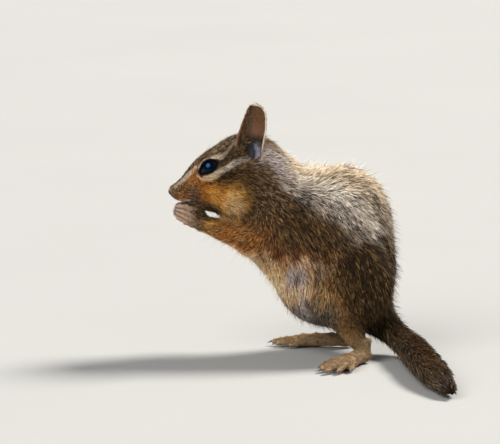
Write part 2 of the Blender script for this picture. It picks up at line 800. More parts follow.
@dataclass(frozen=True)
class Stripe:
    """A band of colour along a line seen from the side of the head, on both sides."""

    line: tuple[tuple[float, float], ...]
    widths: tuple[float, ...]
    hue: Hue
    strength: float = 1.0

    def share(self, x: Array, z: Array) -> Array:
        """How much of the stripe there is at each place."""
        best = np.full(len(x), -1e9)
        for (ax, az), (bx, bz), wa, wb in zip(self.line, self.line[1:], self.widths, self.widths[1:]):
            dx, dz = bx - ax, bz - az
            t = np.clip(((x - ax) * dx + (z - az) * dz) / (dx * dx + dz * dz), 0, 1)
            far = np.hypot(x - ax - t * dx, z - az - t * dz)
            best = np.maximum(best, (wa + (wb - wa) * t) / 2 - far)
        return ramp(best, -0.45, 0.35) * self.strength


@dataclass(frozen=True)
class Patch:
    """A soft-edged patch of colour round a place of the right half, on both sides."""

    at: Triple
    reach: Triple
    hue: Hue
    strength: float = 1.0

    def share(self, points: Array) -> Array:
        """How much of the patch there is at each point."""
        d = np.column_stack([points[:, 0], np.abs(points[:, 1]), points[:, 2]]) - self.at
        ragged = 1 + 0.24 * noise(points, 1.1 * min(self.reach), 41)
        return ramp(np.linalg.norm(d / self.reach, axis=1) * ragged, 1.35, 0.5) * self.strength


HEAD_PATCHES = (
    Patch((-40, 5, 64), (8, 9, 7), Hue.OCHRE, 0.75),
    Patch((-44.5, 4.5, 61.5), (4.6, 5, 3.6), Hue.BROWN, 0.5),
    Patch((-47, 4.0, 58.8), (4.0, 5, 1.9), Hue.RUST, 0.75),
    Patch((-35, 11, 61), (7.0, 9, 5.2), Hue.OCHRE, 0.9),
    Patch((-30, 12, 64.5), (5.5, 9, 2.6), Hue.OLIVE, 0.6),
    Patch((-29.6, 13, 54.0), (7.2, 10, 9.6), Hue.GOLD, 0.95),
    Patch((-28.4, 13, 52.4), (5.2, 9, 7.4), Hue.CREAM, 0.5),
    Patch((-37.2, 5, 55.6), (4.0, 6, 2.4), Hue.UMBER, 0.7),
    Patch((-44, 6, 67.3), (4.2, 6, 2.4), Hue.OCHRE, 0.5),
    Patch((-51.2, 0, 62.4), (3.0, 2.6, 2.4), Hue.TAN, 0.9),
)
HEAD_STRIPES = (
    Stripe(((-41, 62.6), (-38.5, 64.0), (-35.6, 64.7), (-32, 66.6), (-27.8, 68.6), (-22, 70)),
           (0, 0.8, 1.6, 2.4, 2.6, 2.2), Hue.BLACK, 0.8),
    Stripe(((-34, 72.4), (-31, 73.0), (-27.4, 73.9), (-22, 75.5)), (1.6, 2.6, 3.2, 3.6), Hue.UMBER, 0.85),
    Stripe(((-50.6, 62.0), (-47.2, 64.6), (-44.6, 67.1), (-42.1, 69.3)), (0.9, 1.3, 1.4, 0.8), Hue.PALE, 0.6),
    Stripe(((-41.3, 67.8), (-40.7, 70.4), (-39.2, 72.2), (-35.6, 73.2), (-33.3, 73.2)),
           (0.4, 0.7, 0.7, 0.9, 1.0), Hue.CREAM, 0.95),
    Stripe(((-35.8, 73.8), (-33.3, 73.7), (-31.6, 74.9), (-29.8, 77.0), (-27.4, 79)),
           (1.2, 1.2, 0.8, 0.7, 0.5), Hue.PALE, 0.5),
    Stripe(((-41.6, 66.5), (-39.5, 65.9), (-37.1, 66.0), (-34.6, 67.5), (-32, 69.4)),
           (0.8, 1.8, 2.1, 1.9, 1.6), Hue.CREAM, 0.9),
    Stripe(((-33, 68.6), (-28.6, 71.2), (-25.3, 72.5), (-21.5, 73.2)), (1.5, 2.0, 1.8, 1.3), Hue.PALE, 0.9),
)
BODY_PATCHES = (
    Patch((-12.8, 9.5, 77), (7.6, 5.6, 7.4), Hue.LILAC, 0.9),
    Patch((-20, 8, 66), (9, 12, 8), Hue.GREY, 0.25),
    Patch((-24, 16, 46), (11, 10, 7.5), Hue.OCHRE, 0.45),
    Patch((-34, 9, 48.5), (9, 8, 5), Hue.OCHRE, 0.4),
    Patch((-25, 4, 50), (8, 5, 9), Hue.BUFF, 0.85),
    Patch((-3.7, 15, 59.5), (3.0, 7, 5.0), Hue.BLACK, 0.75),
    Patch((16.5, 12, 60), (2.4, 5, 2.4), Hue.BLACK, 0.6),
    Patch((22, 12, 44), (5.0, 7, 2.6), Hue.BLACK, 0.5),
    Patch((-9.0, 13, 37.5), (4.0, 9, 3.6), Hue.RUST, 0.55),
    Patch((3.6, 13, 34.5), (5.6, 9, 6.0), Hue.BROWN, 0.75),
    Patch((-6.2, 12, 32.2), (3.6, 10, 5.2), Hue.LILAC, 0.9),
    Patch((-2.4, 12, 20.5), (3.0, 10, 5.6), Hue.LILAC, 0.85),
    Patch((-5.4, 14, 31.8), (0.9, 7, 3.0), Hue.DUSK, 0.8),
    Patch((-1.0, 14, 22.0), (1.2, 7, 3.0), Hue.DUSK, 0.8),
    Patch((2.2, 15, 31), (1.2, 8, 7.0), Hue.DUSK, 0.85),
)


STRIPES_OF_BACK = (
    (0, 6, Hue.BLACK, 0.8), (13, 5, Hue.TAN, 0.5), (26, 5.5, Hue.UMBER, 0.62), (42, 7, Hue.PALE, 0.7),
    (60, 6, Hue.UMBER, 0.55),
)


@dataclass
class Markings:
    """Paints the coat by where it grows, the same on the skin and on the hairs over it."""

    spine: Spine = field(default_factory=Spine)

    def base(self, points: Array) -> tuple[Array, Array, Array]:
        """The coat's colour at points of the body.

        Args:
            points: places in millimetres, one a row.

        Returns:
            The colour, and the shares of pale-tipped and of dark hairs.
        """
        x, y, z = points.T
        wander, fleck = noise(points, 9, 3), noise(points, 3.4, 8)
        _, angle = self.spine.place(points)
        angle = angle + 4 * wander
        colour = all_over(Hue.BROWN.light, points)
        colour = mixed(colour, Hue.GREY.light, 0.3 * ramp(wander, -0.6, 0.8))
        pale, dark = even(points, 0.2), even(points, 0.36)
        streaks = noise(points * (1, 1.6, 0.35), 3.6, 13)
        behind = ramp(angle, 48, 22) * ramp(x, 12, 24) * ramp(z + 6 * streaks, 66, 54)
        back = ramp(angle + 6 * fleck, 86, 56) * ramp(x, -18, -7) * ramp(z + 2 * wander + 4 * streaks, 38, 54)
        back = back * (1 - 0.7 * behind)
        cool = mixed(all_over(Hue.CREAM.light * 1.15, x), Hue.LILAC.light * 1.5, 0.6 * ramp(angle, 26, 42))
        colour = mixed(colour, cool, back * 0.86)
        pale, dark = pale + 0.42 * back, dark - 0.16 * back
        pale = pale + 0.3 * ramp(angle, 45, 20) * ramp(x, 18, 26)
        runs = ramp(x, -13, 0) * ramp(z, 26, 44) * np.clip(0.7 + 0.6 * fleck, 0, 1)
        for middle, half, hue, strength in STRIPES_OF_BACK:
            share = ramp(np.abs(angle - middle), half * 1.3, half * 0.5) * strength * runs
            colour = mixed(colour, hue.light, share)
            dark = dark + (-0.1 if hue in (Hue.PALE, Hue.TAN) else 0.3) * share
            pale = pale * (1 - (0 if hue in (Hue.PALE, Hue.TAN) else 0.5) * share)
        edge = np.interp(x, (-30, -15, -3, 5), (41.5, 39.5, 38.0, 37.0))
        edge = edge + 1.8 * fleck + 2.4 * noise(points, 7, 61)
        warm = ramp(z, edge + 8, edge + 1) * ramp(angle, 92, 104) * ramp(x, 24, 12)
        colour = mixed(colour, Hue.RUST.light, 0.5 * warm)
        belly = ramp(z, edge + 1.6, edge - 1.6) * ramp(angle, 96, 106) * ramp(x, 24, 12)
        belly = np.maximum(belly, ramp(angle, 150, 160) * ramp(x, 24, 12))
        colour = mixed(colour, Hue.CREAM.light * (1.5, 1.34, 1.36), belly)
        peach = belly * (0.3 + 0.5 * ramp(x, -4, -14)) * ramp(noise(points, 7, 5), -0.9, 0.3)
        colour = mixed(colour, Hue.PEACH.light * 1.3, peach)
        strands = noise(points * (1.4, 1, 0.45), 3.2, 67)
        rusty = 0.4 * belly * ramp(strands, 0.1, 0.8) * ramp(z, 20, 30) * ramp(x, -12, -6)
        colour = mixed(colour, Hue.RUST.light * 1.25, rusty)
        colour = mixed(colour, tone(76, 75, 75), 0.94 * belly * ramp(z + 2 * fleck, 27, 18))
        pale = pale * (1 - belly) + 0.22 * belly
        dark = dark * (1 - 0.8 * belly)
        rump = ramp(z + 2 * wander, 51, 37) * ramp(x + 3 * fleck, 2, 18)
        colour = mixed(colour, Hue.OLIVE.light * 0.36, 0.9 * rump)
        pale = pale * (1 - 0.6 * rump)
        for patch in BODY_PATCHES:
            share = patch.share(points)
            colour = mixed(colour, patch.hue.light, share)
            if patch.hue in (Hue.BUFF, Hue.LILAC):
                dark = dark * (1 - (0.7 if patch.at[2] < 60 else -0.3) * share)
        colour, pale, dark = self.legs(points, colour, pale, dark)
        colour, pale, dark = self.head(points, colour, pale, dark)
        return colour, np.clip(pale, 0, 1), np.clip(dark, 0, 1)

    def legs(self, points: Array, colour: Array, pale: Array, dark: Array) -> tuple[Array, Array, Array]:
        """The hind limbs painted over the body: brown outside, buff in front, paler at the ankle."""
        x, y, z = points.T
        trunk = TRUNK.distance(x, y, z)
        limb = nearest(LEGS, x, y, z)
        on = ramp(limb - trunk, 1.6, -0.6) * ramp(np.abs(y), 6, 11)
        front = ramp(x + 0.28 * (z - 20) + 2.4 * noise(points, 6, 22), 18.0, 6.0)
        wander = noise(points * [1.6, 1, 0.6], 5, 21)
        shade = mixed(all_over(Hue.OLIVE.light, points), Hue.BROWN.light, 0.5) * 0.46
        shade = mixed(shade, Hue.BUFF.light, front * (0.5 + 0.34 * wander))
        shade = mixed(shade, Hue.RUST.light, 0.25 * ramp(front, 0.2, 0.6) * ramp(front, 1, 0.6))
        shade = mixed(shade, tone(72, 70, 67), 0.92 * ramp(z + 3 * wander, 28, 18) * ramp(x, 13, 6))
        shade = mixed(shade, Hue.TAN.light, 0.7 * ramp(z, 13, 7))
        colour = mixed(colour, shade, on)
        return colour, pale * (1 - on) + (0.14 + 0.14 * front) * on, dark * (1 - on) + 0.25 * on * (1 - front)

    def head(self, points: Array, colour: Array, pale: Array, dark: Array) -> tuple[Array, Array, Array]:
        """The head painted over the body: dark crown, ochre face, and its pale and dark stripes."""
        x, y, z = rolled(*points.T)
        here = np.column_stack([x, y, z])
        inside = HEAD.distance(x, y, z)
        on = ramp(inside - TRUNK.distance(*points.T), 2.5, -2.5) * ramp(x, -17, -24)
        wander, streak = noise(points, 4, 31), noise(points * (0.5, 1, 1.3), 1.1, 33)
        face = all_over(Hue.BROWN.light, points)
        face = mixed(face, Hue.OLIVE.light * 0.9, 0.5)
        brow = np.interp(x, (-52, -47, -42, -38, -33, -27, -20), (62.2, 65.6, 70.5, 74.4, 75.6, 77, 77))
        crown = ramp(z - brow, -1.2, 0.6)
        for patch in HEAD_PATCHES:
            face = mixed(face, patch.hue.light, patch.share(here))
        face = mixed(face, Hue.UMBER.light * 0.5, crown)
        face = mixed(face, Hue.BLACK.light, crown * 0.9 * ramp(np.abs(y), 4.6, 1.4) * ramp(x, -52, -42))
        stripes = np.zeros(len(points))
        for stripe in HEAD_STRIPES:
            share = stripe.share(x + 0.3 * wander, z + 0.3 * wander) * ramp(np.abs(y), 1.0, 2.4)
            share = share * (1 - 0.6 * ramp(streak, 0.0, 0.7))
            face = mixed(face, stripe.hue.light, share)
            if stripe.hue in (Hue.CREAM, Hue.PALE):
                stripes = np.maximum(stripes, share)
        dots = np.sin(1.9 * (x + 0.7 * z)) * np.sin(2.6 * (z - 0.2 * x))
        pad = Patch((-44.5, 4.5, 60.6), (5.2, 5, 3.6), Hue.UMBER).share(here)
        face = mixed(face, Hue.BLACK.light, 0.6 * pad * ramp(dots + 0.3 * wander, 0.15, 0.6))
        lip = Patch((-47.5, 3, 57.4), (4.4, 4, 0.8), Hue.CREAM).share(here)
        face = mixed(face, Hue.CREAM.light, 0.85 * lip)
        face = face * (1 + 0.1 * wander)[:, None]
        eyes = np.minimum(*(np.linalg.norm(points - EyeFrame(s).axes()[0], axis=1) for s in SIDES.values()))
        rim = ramp(eyes, 5.35, 4.95) * ramp(self.slit(points), 0.62, 0.3)
        face = mixed(face, Hue.BLACK.light * 0.5, rim)
        colour = mixed(colour, face, on)
        gold = HEAD_PATCHES[5].share(here)
        grizzle = (0.1 * crown * ramp(x, -44, -32) + 0.12 + 0.12 * ramp(x, -38, -43)) * (1 - stripes)
        flecks = 0.3 * (1 - 0.93 * stripes) * (1 - 0.7 * gold)
        return colour, pale * (1 - on) + grizzle * on, dark * (1 - on) + flecks * on

    def slit(self, points: Array) -> Array:
        """How far points lie outside the slit between the lids, along the lid."""
        return np.minimum(*(slit_gap(*EyeFrame(side).local(*points.T)) for side in SIDES.values()))


# Hairs


@dataclass
class Tufts:
    """Thin tapered locks of hair, each a closed body of ten faces bent once along its length."""

    roots: Array
    middles: Array
    tips: Array
    normals: Array
    widths: Array
    colours: Array
    patches: Array

    CORNERS = 3
    SHARES = (0.42, 0.5)
    FLATNESS = 0.55
    PATCH = 0.003

    def sheet(self) -> Sheet:
        """The mesh of all the tufts, with their colours and their patches of the unwrap."""
        count = len(self.roots)
        ahead = unit(self.tips - self.roots)
        across = unit(np.cross(ahead, self.normals))
        over = np.cross(across, ahead)
        angles = 2 * np.pi * np.arange(self.CORNERS) / self.CORNERS + math.pi / 2
        points = np.empty((count, 2 * self.CORNERS + 1, 3))
        for ring, (middle, share) in enumerate(zip((self.roots, self.middles), self.SHARES)):
            for corner, a in enumerate(angles):
                wide = math.cos(a) * share * self.widths[:, None]
                high = math.sin(a) * share * self.FLATNESS * self.widths[:, None]
                points[:, ring * self.CORNERS + corner] = middle + wide * across + high * over
        points[:, -1] = self.tips
        one = [(0, 2, 1)]
        for i in range(3):
            j = (i + 1) % 3
            one += [(i, j, 3 + j), (i, 3 + j, 3 + i), (3 + i, 3 + j, 6)]
        faces = (np.arange(count)[:, None, None] * 7 + np.array(one)[None]).reshape(-1, 3)
        colours = self.colours[:, [0, 0, 0, 1, 1, 1, 2]].reshape(-1, 3)
        corners = np.array([(0, 0), (0.5, 0), (1, 0), (0, 0.5), (0.5, 0.5), (1, 0.5), (0.5, 1)]) * self.PATCH
        patches = (self.patches[:, None] * (1 - self.PATCH) + corners[None]).reshape(-1, 2)
        sheet = Sheet(points.reshape(-1, 3), faces, colours, patches)
        a, b, c = (sheet.points[faces[:10, i]] for i in range(3))
        if np.einsum("ij,ij->i", np.cross(a - a[0], b - a[0]), c - a[0]).sum() < 0:
            sheet.faces = faces[:, ::-1]
        return sheet

    def chosen(self, rows: Array) -> "Tufts":
        """Some of the tufts."""
        return Tufts(*(getattr(self, item.name)[rows] for item in fields(self)))


@dataclass
class Groomer:
    """Grows tufts on a surface."""

    body: Body
    markings: Markings
    seed: int = SEED
    clump: float = 1.05
    overlap: float = FULL_OVERLAP
    guards: float = 0.12
    guard_length: float = 1.25
    guard_width: float = 0.55
    guard_rise: float = 2.1
    bend: float = 0.56
    sunk: float = 0.25
    pull: tuple[float, float] = (0.4, 0.88)

    @staticmethod
    def breadth(length: Array) -> Array:
        """The width of a tuft of a length."""
        return 0.1 + 0.04 * length

    @staticmethod
    def laid(way: Array, normals: Array) -> Array:
        """Directions laid on the surface."""
        return unit(way - normals * np.einsum("ij,ij->i", way, normals)[:, None])

    def scatter(self, sheet: Sheet, density: Array, rng: np.random.Generator) -> tuple[Array, Array]:
        """Roots spread evenly over a surface.

        Args:
            sheet: the surface.
            density: roots a square millimetre at each of its points.
            rng: the source of the draws.

        Returns:
            The roots and the directions out of the surface there.
        """
        tri = sheet.triangles()
        a, b, c = (sheet.points[tri[:, i]] for i in range(3))
        area = np.linalg.norm(np.cross(b - a, c - a), axis=1) / 2
        wanted = area * density[tri].mean(1)
        count = np.floor(wanted + rng.random(len(wanted))).astype(int)
        pick = np.repeat(np.arange(len(tri)), count)
        u, v = rng.random(len(pick)), rng.random(len(pick))
        over = u + v > 1
        u[over], v[over] = 1 - u[over], 1 - v[over]
        share = np.column_stack([1 - u - v, u, v])[:, :, None]
        normals = sheet.normals()
        return (sheet.points[tri[pick]] * share).sum(1), unit((normals[tri[pick]] * share).sum(1))

    def shades(self, base: Array, pale: Array, dark: Array, rng: np.random.Generator,
               lot: Array | float = 0.5) -> Array:
        """The colours of tufts at root, middle and tip.

        Args:
            base: the coat's colour at each root.
            pale: the share of pale-tipped tufts.
            dark: the share of dark ones.
            rng: the source of the draws.
            lot: a draw that the tufts of a clump share.

        Returns:
            Three colours a tuft.
        """
        own = rng.random(len(base))
        draw = own if np.isscalar(lot) else np.where(own < 0.75, lot, rng.random(len(base)))
        light = base * (rng.uniform(0.75, 1.25, len(base)) * (0.6 + 0.8 * np.asarray(lot)))[:, None]
        is_dark, is_pale = (draw < dark)[:, None], (draw > 1 - pale)[:, None]
        palest = mixed(all_over(Hue.BUFF.light, base), Hue.PALE.light, ramp(pale, 0.12, 0.45))
        middle = np.where(is_dark, light * 0.4, light)
        tip = np.where(is_dark, light * 0.22, light * 1.1)
        tip = np.where(is_pale, light * 0.15 + palest * 0.85, tip)
        middle = np.where(is_pale, light * 0.7 + palest * 0.3, middle)
        return np.stack([light * 0.35, middle, tip], 1)

    def over_body(self, skin: Sheet, keep: Callable[[Array], Array]) -> Tufts:
        """The coat of the body, which lies along it at the depth that the guides give.

        Args:
            skin: the skin under the coat.
            keep: gives for points how many of the tufts grow there, from 0 to 1.

        Returns:
            The tufts.
        """
        rng = np.random.default_rng(self.seed)
        length = self.body.coat.length(skin.points)
        density = self.overlap / (length * self.breadth(length)) * keep(skin.points)
        roots, normals = self.scatter(skin, density, rng)
        length = self.body.coat.length(roots)
        depth = self.body.coat.depth(roots)
        lie = self.body.coat.lie(roots)
        lie = self.laid(lie + 0.16 * rng.normal(size=lie.shape), normals)
        guard = rng.random(len(roots)) < self.guards
        size = length * rng.uniform(0.72, 1.15, len(roots)) * np.where(guard, self.guard_length, 1)
        wide = self.breadth(length) * rng.uniform(0.7, 1.2, len(roots)) * np.where(guard, self.guard_width, 1)
        rise = depth * rng.uniform(0.5, 1.1, len(roots)) * np.where(guard, self.guard_rise, 1)
        flat = np.sqrt(np.maximum(size**2 - rise**2, (0.5 * size) ** 2))
        middles = roots + lie * (0.5 * flat)[:, None] + normals * (self.bend * rise)[:, None]
        tips = roots + lie * flat[:, None] + normals * rise[:, None]
        tips, lot = self.gathered(tips, length, rng)
        base_level = self.body.at(roots)
        middles = self.levelled(middles, base_level + self.bend * rise)
        tips = self.levelled(tips, base_level + rise)
        base, pale, dark = self.markings.base(roots)
        clumps = 1 + 0.2 * noise(roots, 2.6, 91) * ramp(length, 1.2, 3)
        colours = self.shades(base * clumps[:, None], pale, dark, rng, lot)
        return Tufts(roots - normals * self.sunk, middles, tips, normals, wide, colours, self.unwrap(roots))

    def gathered(self, tips: Array, length: Array, rng: np.random.Generator) -> tuple[Array, Array]:
        """Draws tips together in clumps, as hairs of a coat lie.

        Args:
            tips: the tips.
            length: the lengths of the hairs.
            rng: the source of the draws.

        Returns:
            The tips moved, and a draw from 0 to 1 that each clump shares.
        """
        size = self.clump * np.clip(length / 6, 0.3, 1)
        level = np.round(np.log2(np.maximum(size, 0.4)) * 2) / 2
        cell = 2.0**level
        half = 4096
        index = np.floor(tips / cell[:, None] + rng.random(3)).astype(np.int64) + half
        key = (index[:, 0] * 2 * half + index[:, 1]) * 2 * half + index[:, 2]
        key = key + (level * 4 + 64).astype(np.int64) * (2 * half) ** 3
        _, group = np.unique(key, return_inverse=True)
        count = np.bincount(group)
        middle = np.column_stack([np.bincount(group, tips[:, i]) / count for i in range(3)])
        pull = rng.uniform(*self.pull, len(tips))[:, None]
        return tips + (middle[group] - tips) * pull, rng.random(len(count))[group]

    def levelled(self, points: Array, level: Array) -> Array:
        """Points moved out of or into the body until they lie at a level of its outline."""
        slope = slopes(self.body.at, points, 0.2)
        step = (self.body.at(points) - level)[:, None] * slope
        return points - step / np.maximum((slope**2).sum(1, keepdims=True), 0.3)

    def unwrap(self, roots: Array) -> Array:
        """The places of roots on the body laid open along its spine, in the unit square."""
        along, angle = self.markings.spine.place(roots)
        low, high = along.min(), along.max()
        return np.column_stack([(along - low) / max(high - low, 1e-6), np.clip(angle / 180, 0, 1)])

    def over_form(self, sheet: Sheet, lie: Callable[[Array], Array], density: Array, length: float,
                  rise: float, width: float, paint: Callable[[Array], tuple[Array, Array, Array]],
                  place: Callable[[Array], Array], seed: int) -> Tufts:
        """A coat of one length over any other form.

        Args:
            sheet: the surface.
            lie: the way the hairs lie at points.
            density: roots a square millimetre at each point of the surface.
            length: the length of the hairs.
            rise: how far their tips stand off, as a share of the length.
            width: the width of a tuft.
            paint: gives the colour and the shares of pale and dark tufts at points.
            place: the places of roots on the form laid open, in the unit square.
            seed: the seed of the draws.

        Returns:
            The tufts.
        """
        rng = np.random.default_rng(seed)
        roots, normals = self.scatter(sheet, density, rng)
        way = self.laid(lie(roots) + 0.2 * rng.normal(size=roots.shape), normals)
        size = length * rng.uniform(0.7, 1.25, len(roots))
        up = rise * rng.uniform(0.5, 1.3, len(roots))
        middles = roots + (way * 0.5 + normals * (0.62 * up)[:, None]) * size[:, None]
        tips = roots + (way + normals * up[:, None]) * size[:, None]
        wide = width * rng.uniform(0.7, 1.25, len(roots))
        colours = self.shades(*paint(roots), rng)
        return Tufts(roots - normals * 0.12, middles, tips, normals, wide, colours, place(roots))


# Materials


class Socket:
    """One output of a material's nodes, on which sums are written as Python expressions."""

    def __init__(self, shader: "Shader", socket: bpy.types.NodeSocket) -> None:
        """Holds a socket and the shader it belongs to."""
        self.shader = shader
        self.socket = socket

    def _math(self, operation: str, a: "Socket | float", b: "Socket | float") -> "Socket":
        """The result of one Math node."""
        return self.shader.node("ShaderNodeMath", {"operation": operation}, {0: a, 1: b})

    def __add__(self, other: "Socket | float") -> "Socket":
        """The sum."""
        return self._math("ADD", self, other)

    __radd__ = __add__

    def __sub__(self, other: "Socket | float") -> "Socket":
        """The difference."""
        return self._math("SUBTRACT", self, other)

    def __rsub__(self, other: "Socket | float") -> "Socket":
        """The difference, the other way round."""
        return self._math("SUBTRACT", other, self)

    def __mul__(self, other: "Socket | float") -> "Socket":
        """The product."""
        return self._math("MULTIPLY", self, other)

    __rmul__ = __mul__


class Shader:
    """A material and the nodes in it."""

    def __init__(self, name: str) -> None:
        """Starts a material with one surface shader."""
        self.material = bpy.data.materials.new(name)
        self.material.use_nodes = True
        self.tree = self.material.node_tree
        self.surface = self.tree.nodes["Principled BSDF"]

    def node(self, kind: str, settings: dict[str, object] | None = None,
             values: dict[int | str, object] | None = None, output: int | str = 0) -> Socket:
        """One node, set up and linked.

        Args:
            kind: the node's type.
            settings: what the node itself is set to, before its sockets.
            values: numbers, colours or sockets for its inputs, by name or place.
            output: which of its outputs is wanted.

        Returns:
            That output.
        """
        made = self.tree.nodes.new(kind)
        for name, value in (settings or {}).items():
            setattr(made, name, value)
        for name, value in (values or {}).items():
            if isinstance(value, Socket):
                self.tree.links.new(value.socket, made.inputs[name])
            else:
                made.inputs[name].default_value = value
        return Socket(self, made.outputs[output])

    def noise(self, scale: float, detail: float, stretch: Triple = (1, 1, 1)) -> Socket:
        """A noise on the object's own coordinates, in waves a metre."""
        where = self.node("ShaderNodeTexCoord", output="Object")
        placed = self.node("ShaderNodeMapping", None, {"Vector": where, "Scale": stretch})
        return self.node("ShaderNodeTexNoise", None, {"Vector": placed, "Scale": scale, "Detail": detail})

    def painted(self, name: str = "coat") -> Socket:
        """The colour that the mesh carries."""
        return self.node("ShaderNodeAttribute", {"attribute_name": name}, output="Color")

    def shaded(self, colour: Socket, amount: Socket, low: float, high: float) -> Socket:
        """A colour made darker or lighter by an amount that runs from 0 to 1."""
        grey = self.node("ShaderNodeMapRange", None, {"Value": amount, "To Min": low, "To Max": high})
        tint = self.node("ShaderNodeCombineColor", None, {0: grey, 1: grey, 2: grey})
        return self.node("ShaderNodeMix", {"data_type": "RGBA", "blend_type": "MULTIPLY"},
                         {"Factor": 1.0, 6: colour, 7: tint}, output=2)

    def bump(self, height: Socket, strength: float, distance: float) -> None:
        """Feeds a height to the surface's normal."""
        values = {"Height": height, "Strength": strength, "Distance": distance}
        self.feed("Normal", self.node("ShaderNodeBump", None, values))

    def feed(self, name: str, value: Socket | float | Sequence[float]) -> None:
        """Sets or links one input of the surface."""
        if isinstance(value, Socket):
            self.tree.links.new(value.socket, self.surface.inputs[name])
        else:
            self.surface.inputs[name].default_value = value


@dataclass(frozen=True)
class HairFinish:
    """The finish of hair: the colour it carries, with a soft streaked sheen."""

    name: str
    rough: float = 0.62
    gloss: float = 0.18
    streaks_a_metre: float = 900

    def make(self) -> bpy.types.Material:
        """The material."""
        shader = Shader(self.name)
        streaks = shader.noise(self.streaks_a_metre, 3)
        shader.feed("Base Color", shader.shaded(shader.painted(), streaks, 0.84, 1.14))
        shader.feed("Roughness", self.rough + 0.2 * (streaks - 0.5))
        shader.feed("Specular IOR Level", self.gloss)
        return shader.material


@dataclass(frozen=True)
class SkinFinish:
    """Skin under the coat and bare skin: its markings, with fine wrinkles and pores."""

    name: str = "skin"
    rough: float = 0.5
    gloss: float = 0.35
    depth_of_light: Triple = (0.001, 0.0005, 0.0003)

    def make(self) -> bpy.types.Material:
        """The material."""
        shader = Shader(self.name)
        pores = shader.noise(2600, 4)
        folds = shader.noise(700, 2, (1, 1, 2.2))
        shader.feed("Base Color", shader.shaded(shader.painted(), folds, 0.82, 1.15))
        shader.feed("Roughness", self.rough + 0.3 * pores)
        shader.feed("Specular IOR Level", self.gloss)
        shader.feed("Subsurface Weight", 0.06)
        shader.feed("Subsurface Radius", self.depth_of_light)
        shader.feed("Subsurface Scale", 1.0)
        shader.bump(0.6 * folds + 0.4 * pores, 0.5, 0.0002)
        return shader.material


@dataclass(frozen=True)
class EyeFinish:
    """A wet dark eye: a black pupil in a very dark brown iris under a clear film."""

    name: str = "eye"
    glance: tuple[float, float, float, float] = (0.05, 0.34, 1.0, 1)

    def make(self) -> bpy.types.Material:
        """The material."""
        shader = Shader(self.name)
        fibres = shader.noise(1500, 2)
        shader.feed("Base Color", shader.shaded(shader.painted(), fibres, 0.7, 1.3))
        shader.feed("Roughness", 0.05 + 0.03 * fibres)
        shader.feed("IOR", 1.45)
        shader.feed("Specular Tint", self.glance)
        shader.feed("Coat Weight", 0.03)
        shader.feed("Coat Roughness", 0.02)
        return shader.material


@dataclass(frozen=True)
class HornFinish:
    """The horn of the claws, and of whiskers."""

    name: str
    rough: float = 0.36
    gloss: float = 0.5

    def make(self) -> bpy.types.Material:
        """The material."""
        shader = Shader(self.name)
        grain = shader.noise(1800, 3, (1, 1, 3))
        shader.feed("Base Color", shader.shaded(shader.painted(), grain, 0.75, 1.2))
        shader.feed("Roughness", self.rough + 0.12 * grain)
        shader.feed("Specular IOR Level", self.gloss)
        shader.bump(grain, 0.2, 0.0001)
        return shader.material


@dataclass(frozen=True)
class FloorFinish:
    """A plain pale floor."""

    name: str = "floor"

    def make(self) -> bpy.types.Material:
        """The material."""
        shader = Shader(self.name)
        cloud = shader.noise(6, 3)
        pale = shader.node("ShaderNodeMix", {"data_type": "RGBA"}, {
            "Factor": cloud, 6: (0.315, 0.315, 0.31, 1), 7: (0.335, 0.335, 0.33, 1)}, output=2)
        shader.feed("Base Color", pale)
        shader.feed("Roughness", 0.8 + 0.05 * cloud)
        return shader.material


# Sub-assemblies


@dataclass
class Maker:
    """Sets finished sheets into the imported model's frame as objects."""

    shift: Array = field(default_factory=lambda: np.zeros(3))
    lowest: float = 0.12

    def fit(self) -> None:
        """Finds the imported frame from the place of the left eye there."""
        low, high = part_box("eye_left")
        centre = (np.array(low) + np.array(high)) / 2 / MM
        self.shift = centre - EyeFrame(SIDES["left"]).axes()[0]

    def place(self, points: Array) -> Array:
        """Points in metres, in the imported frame, none under the floor."""
        placed = points + self.shift
        low = np.minimum(placed[..., 2], self.lowest)
        placed[..., 2] = np.maximum(placed[..., 2], self.lowest * np.exp(low / self.lowest - 1))
        return placed * MM

    def piece(self, name: str, sheet: Sheet, material: bpy.types.Material, slot: str,
              nodes: Sequence[str] = ()) -> bpy.types.Object:
        """One object of the model.

        Args:
            name: its name.
            sheet: its mesh.
            material: its finish.
            slot: the record's slot it stands for.
            nodes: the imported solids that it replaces.

        Returns:
            The object, on the model's one body.
        """
        mesh = bpy.data.meshes.new(name)
        faces = sheet.triangles()
        mesh.vertices.add(len(sheet.points))
        mesh.vertices.foreach_set("co", self.place(sheet.points).astype(np.float32).ravel())
        mesh.loops.add(faces.size)
        mesh.loops.foreach_set("vertex_index", faces.astype(np.int32).ravel())
        mesh.polygons.add(len(faces))
        mesh.polygons.foreach_set("loop_start", np.arange(0, faces.size, 3, dtype=np.int32))
        mesh.polygons.foreach_set("use_smooth", np.ones(len(faces), bool))
        if sheet.colours is not None:
            carried = mesh.attributes.new("coat", "FLOAT_COLOR", "POINT")
            full = np.column_stack([np.clip(sheet.colours, 0, 1), np.ones(len(sheet.colours))])
            carried.data.foreach_set("color", full.astype(np.float32).ravel())
        if sheet.patches is not None:
            mesh.uv_layers.new(name="OFBake")
            places = sheet.patches[faces.ravel()].astype(np.float32)
            mesh.uv_layers["OFBake"].uv.foreach_set("vector", places.ravel())
        mesh.update()
        mesh.validate()
        mesh.materials.append(material)
        made = bpy.data.objects.new(name, mesh)
        bpy.context.scene.collection.objects.link(made)
        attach(made, "root")
        if nodes:
            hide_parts(*nodes)
        LOG.info("%s: %d triangles", name, len(faces))
        return made


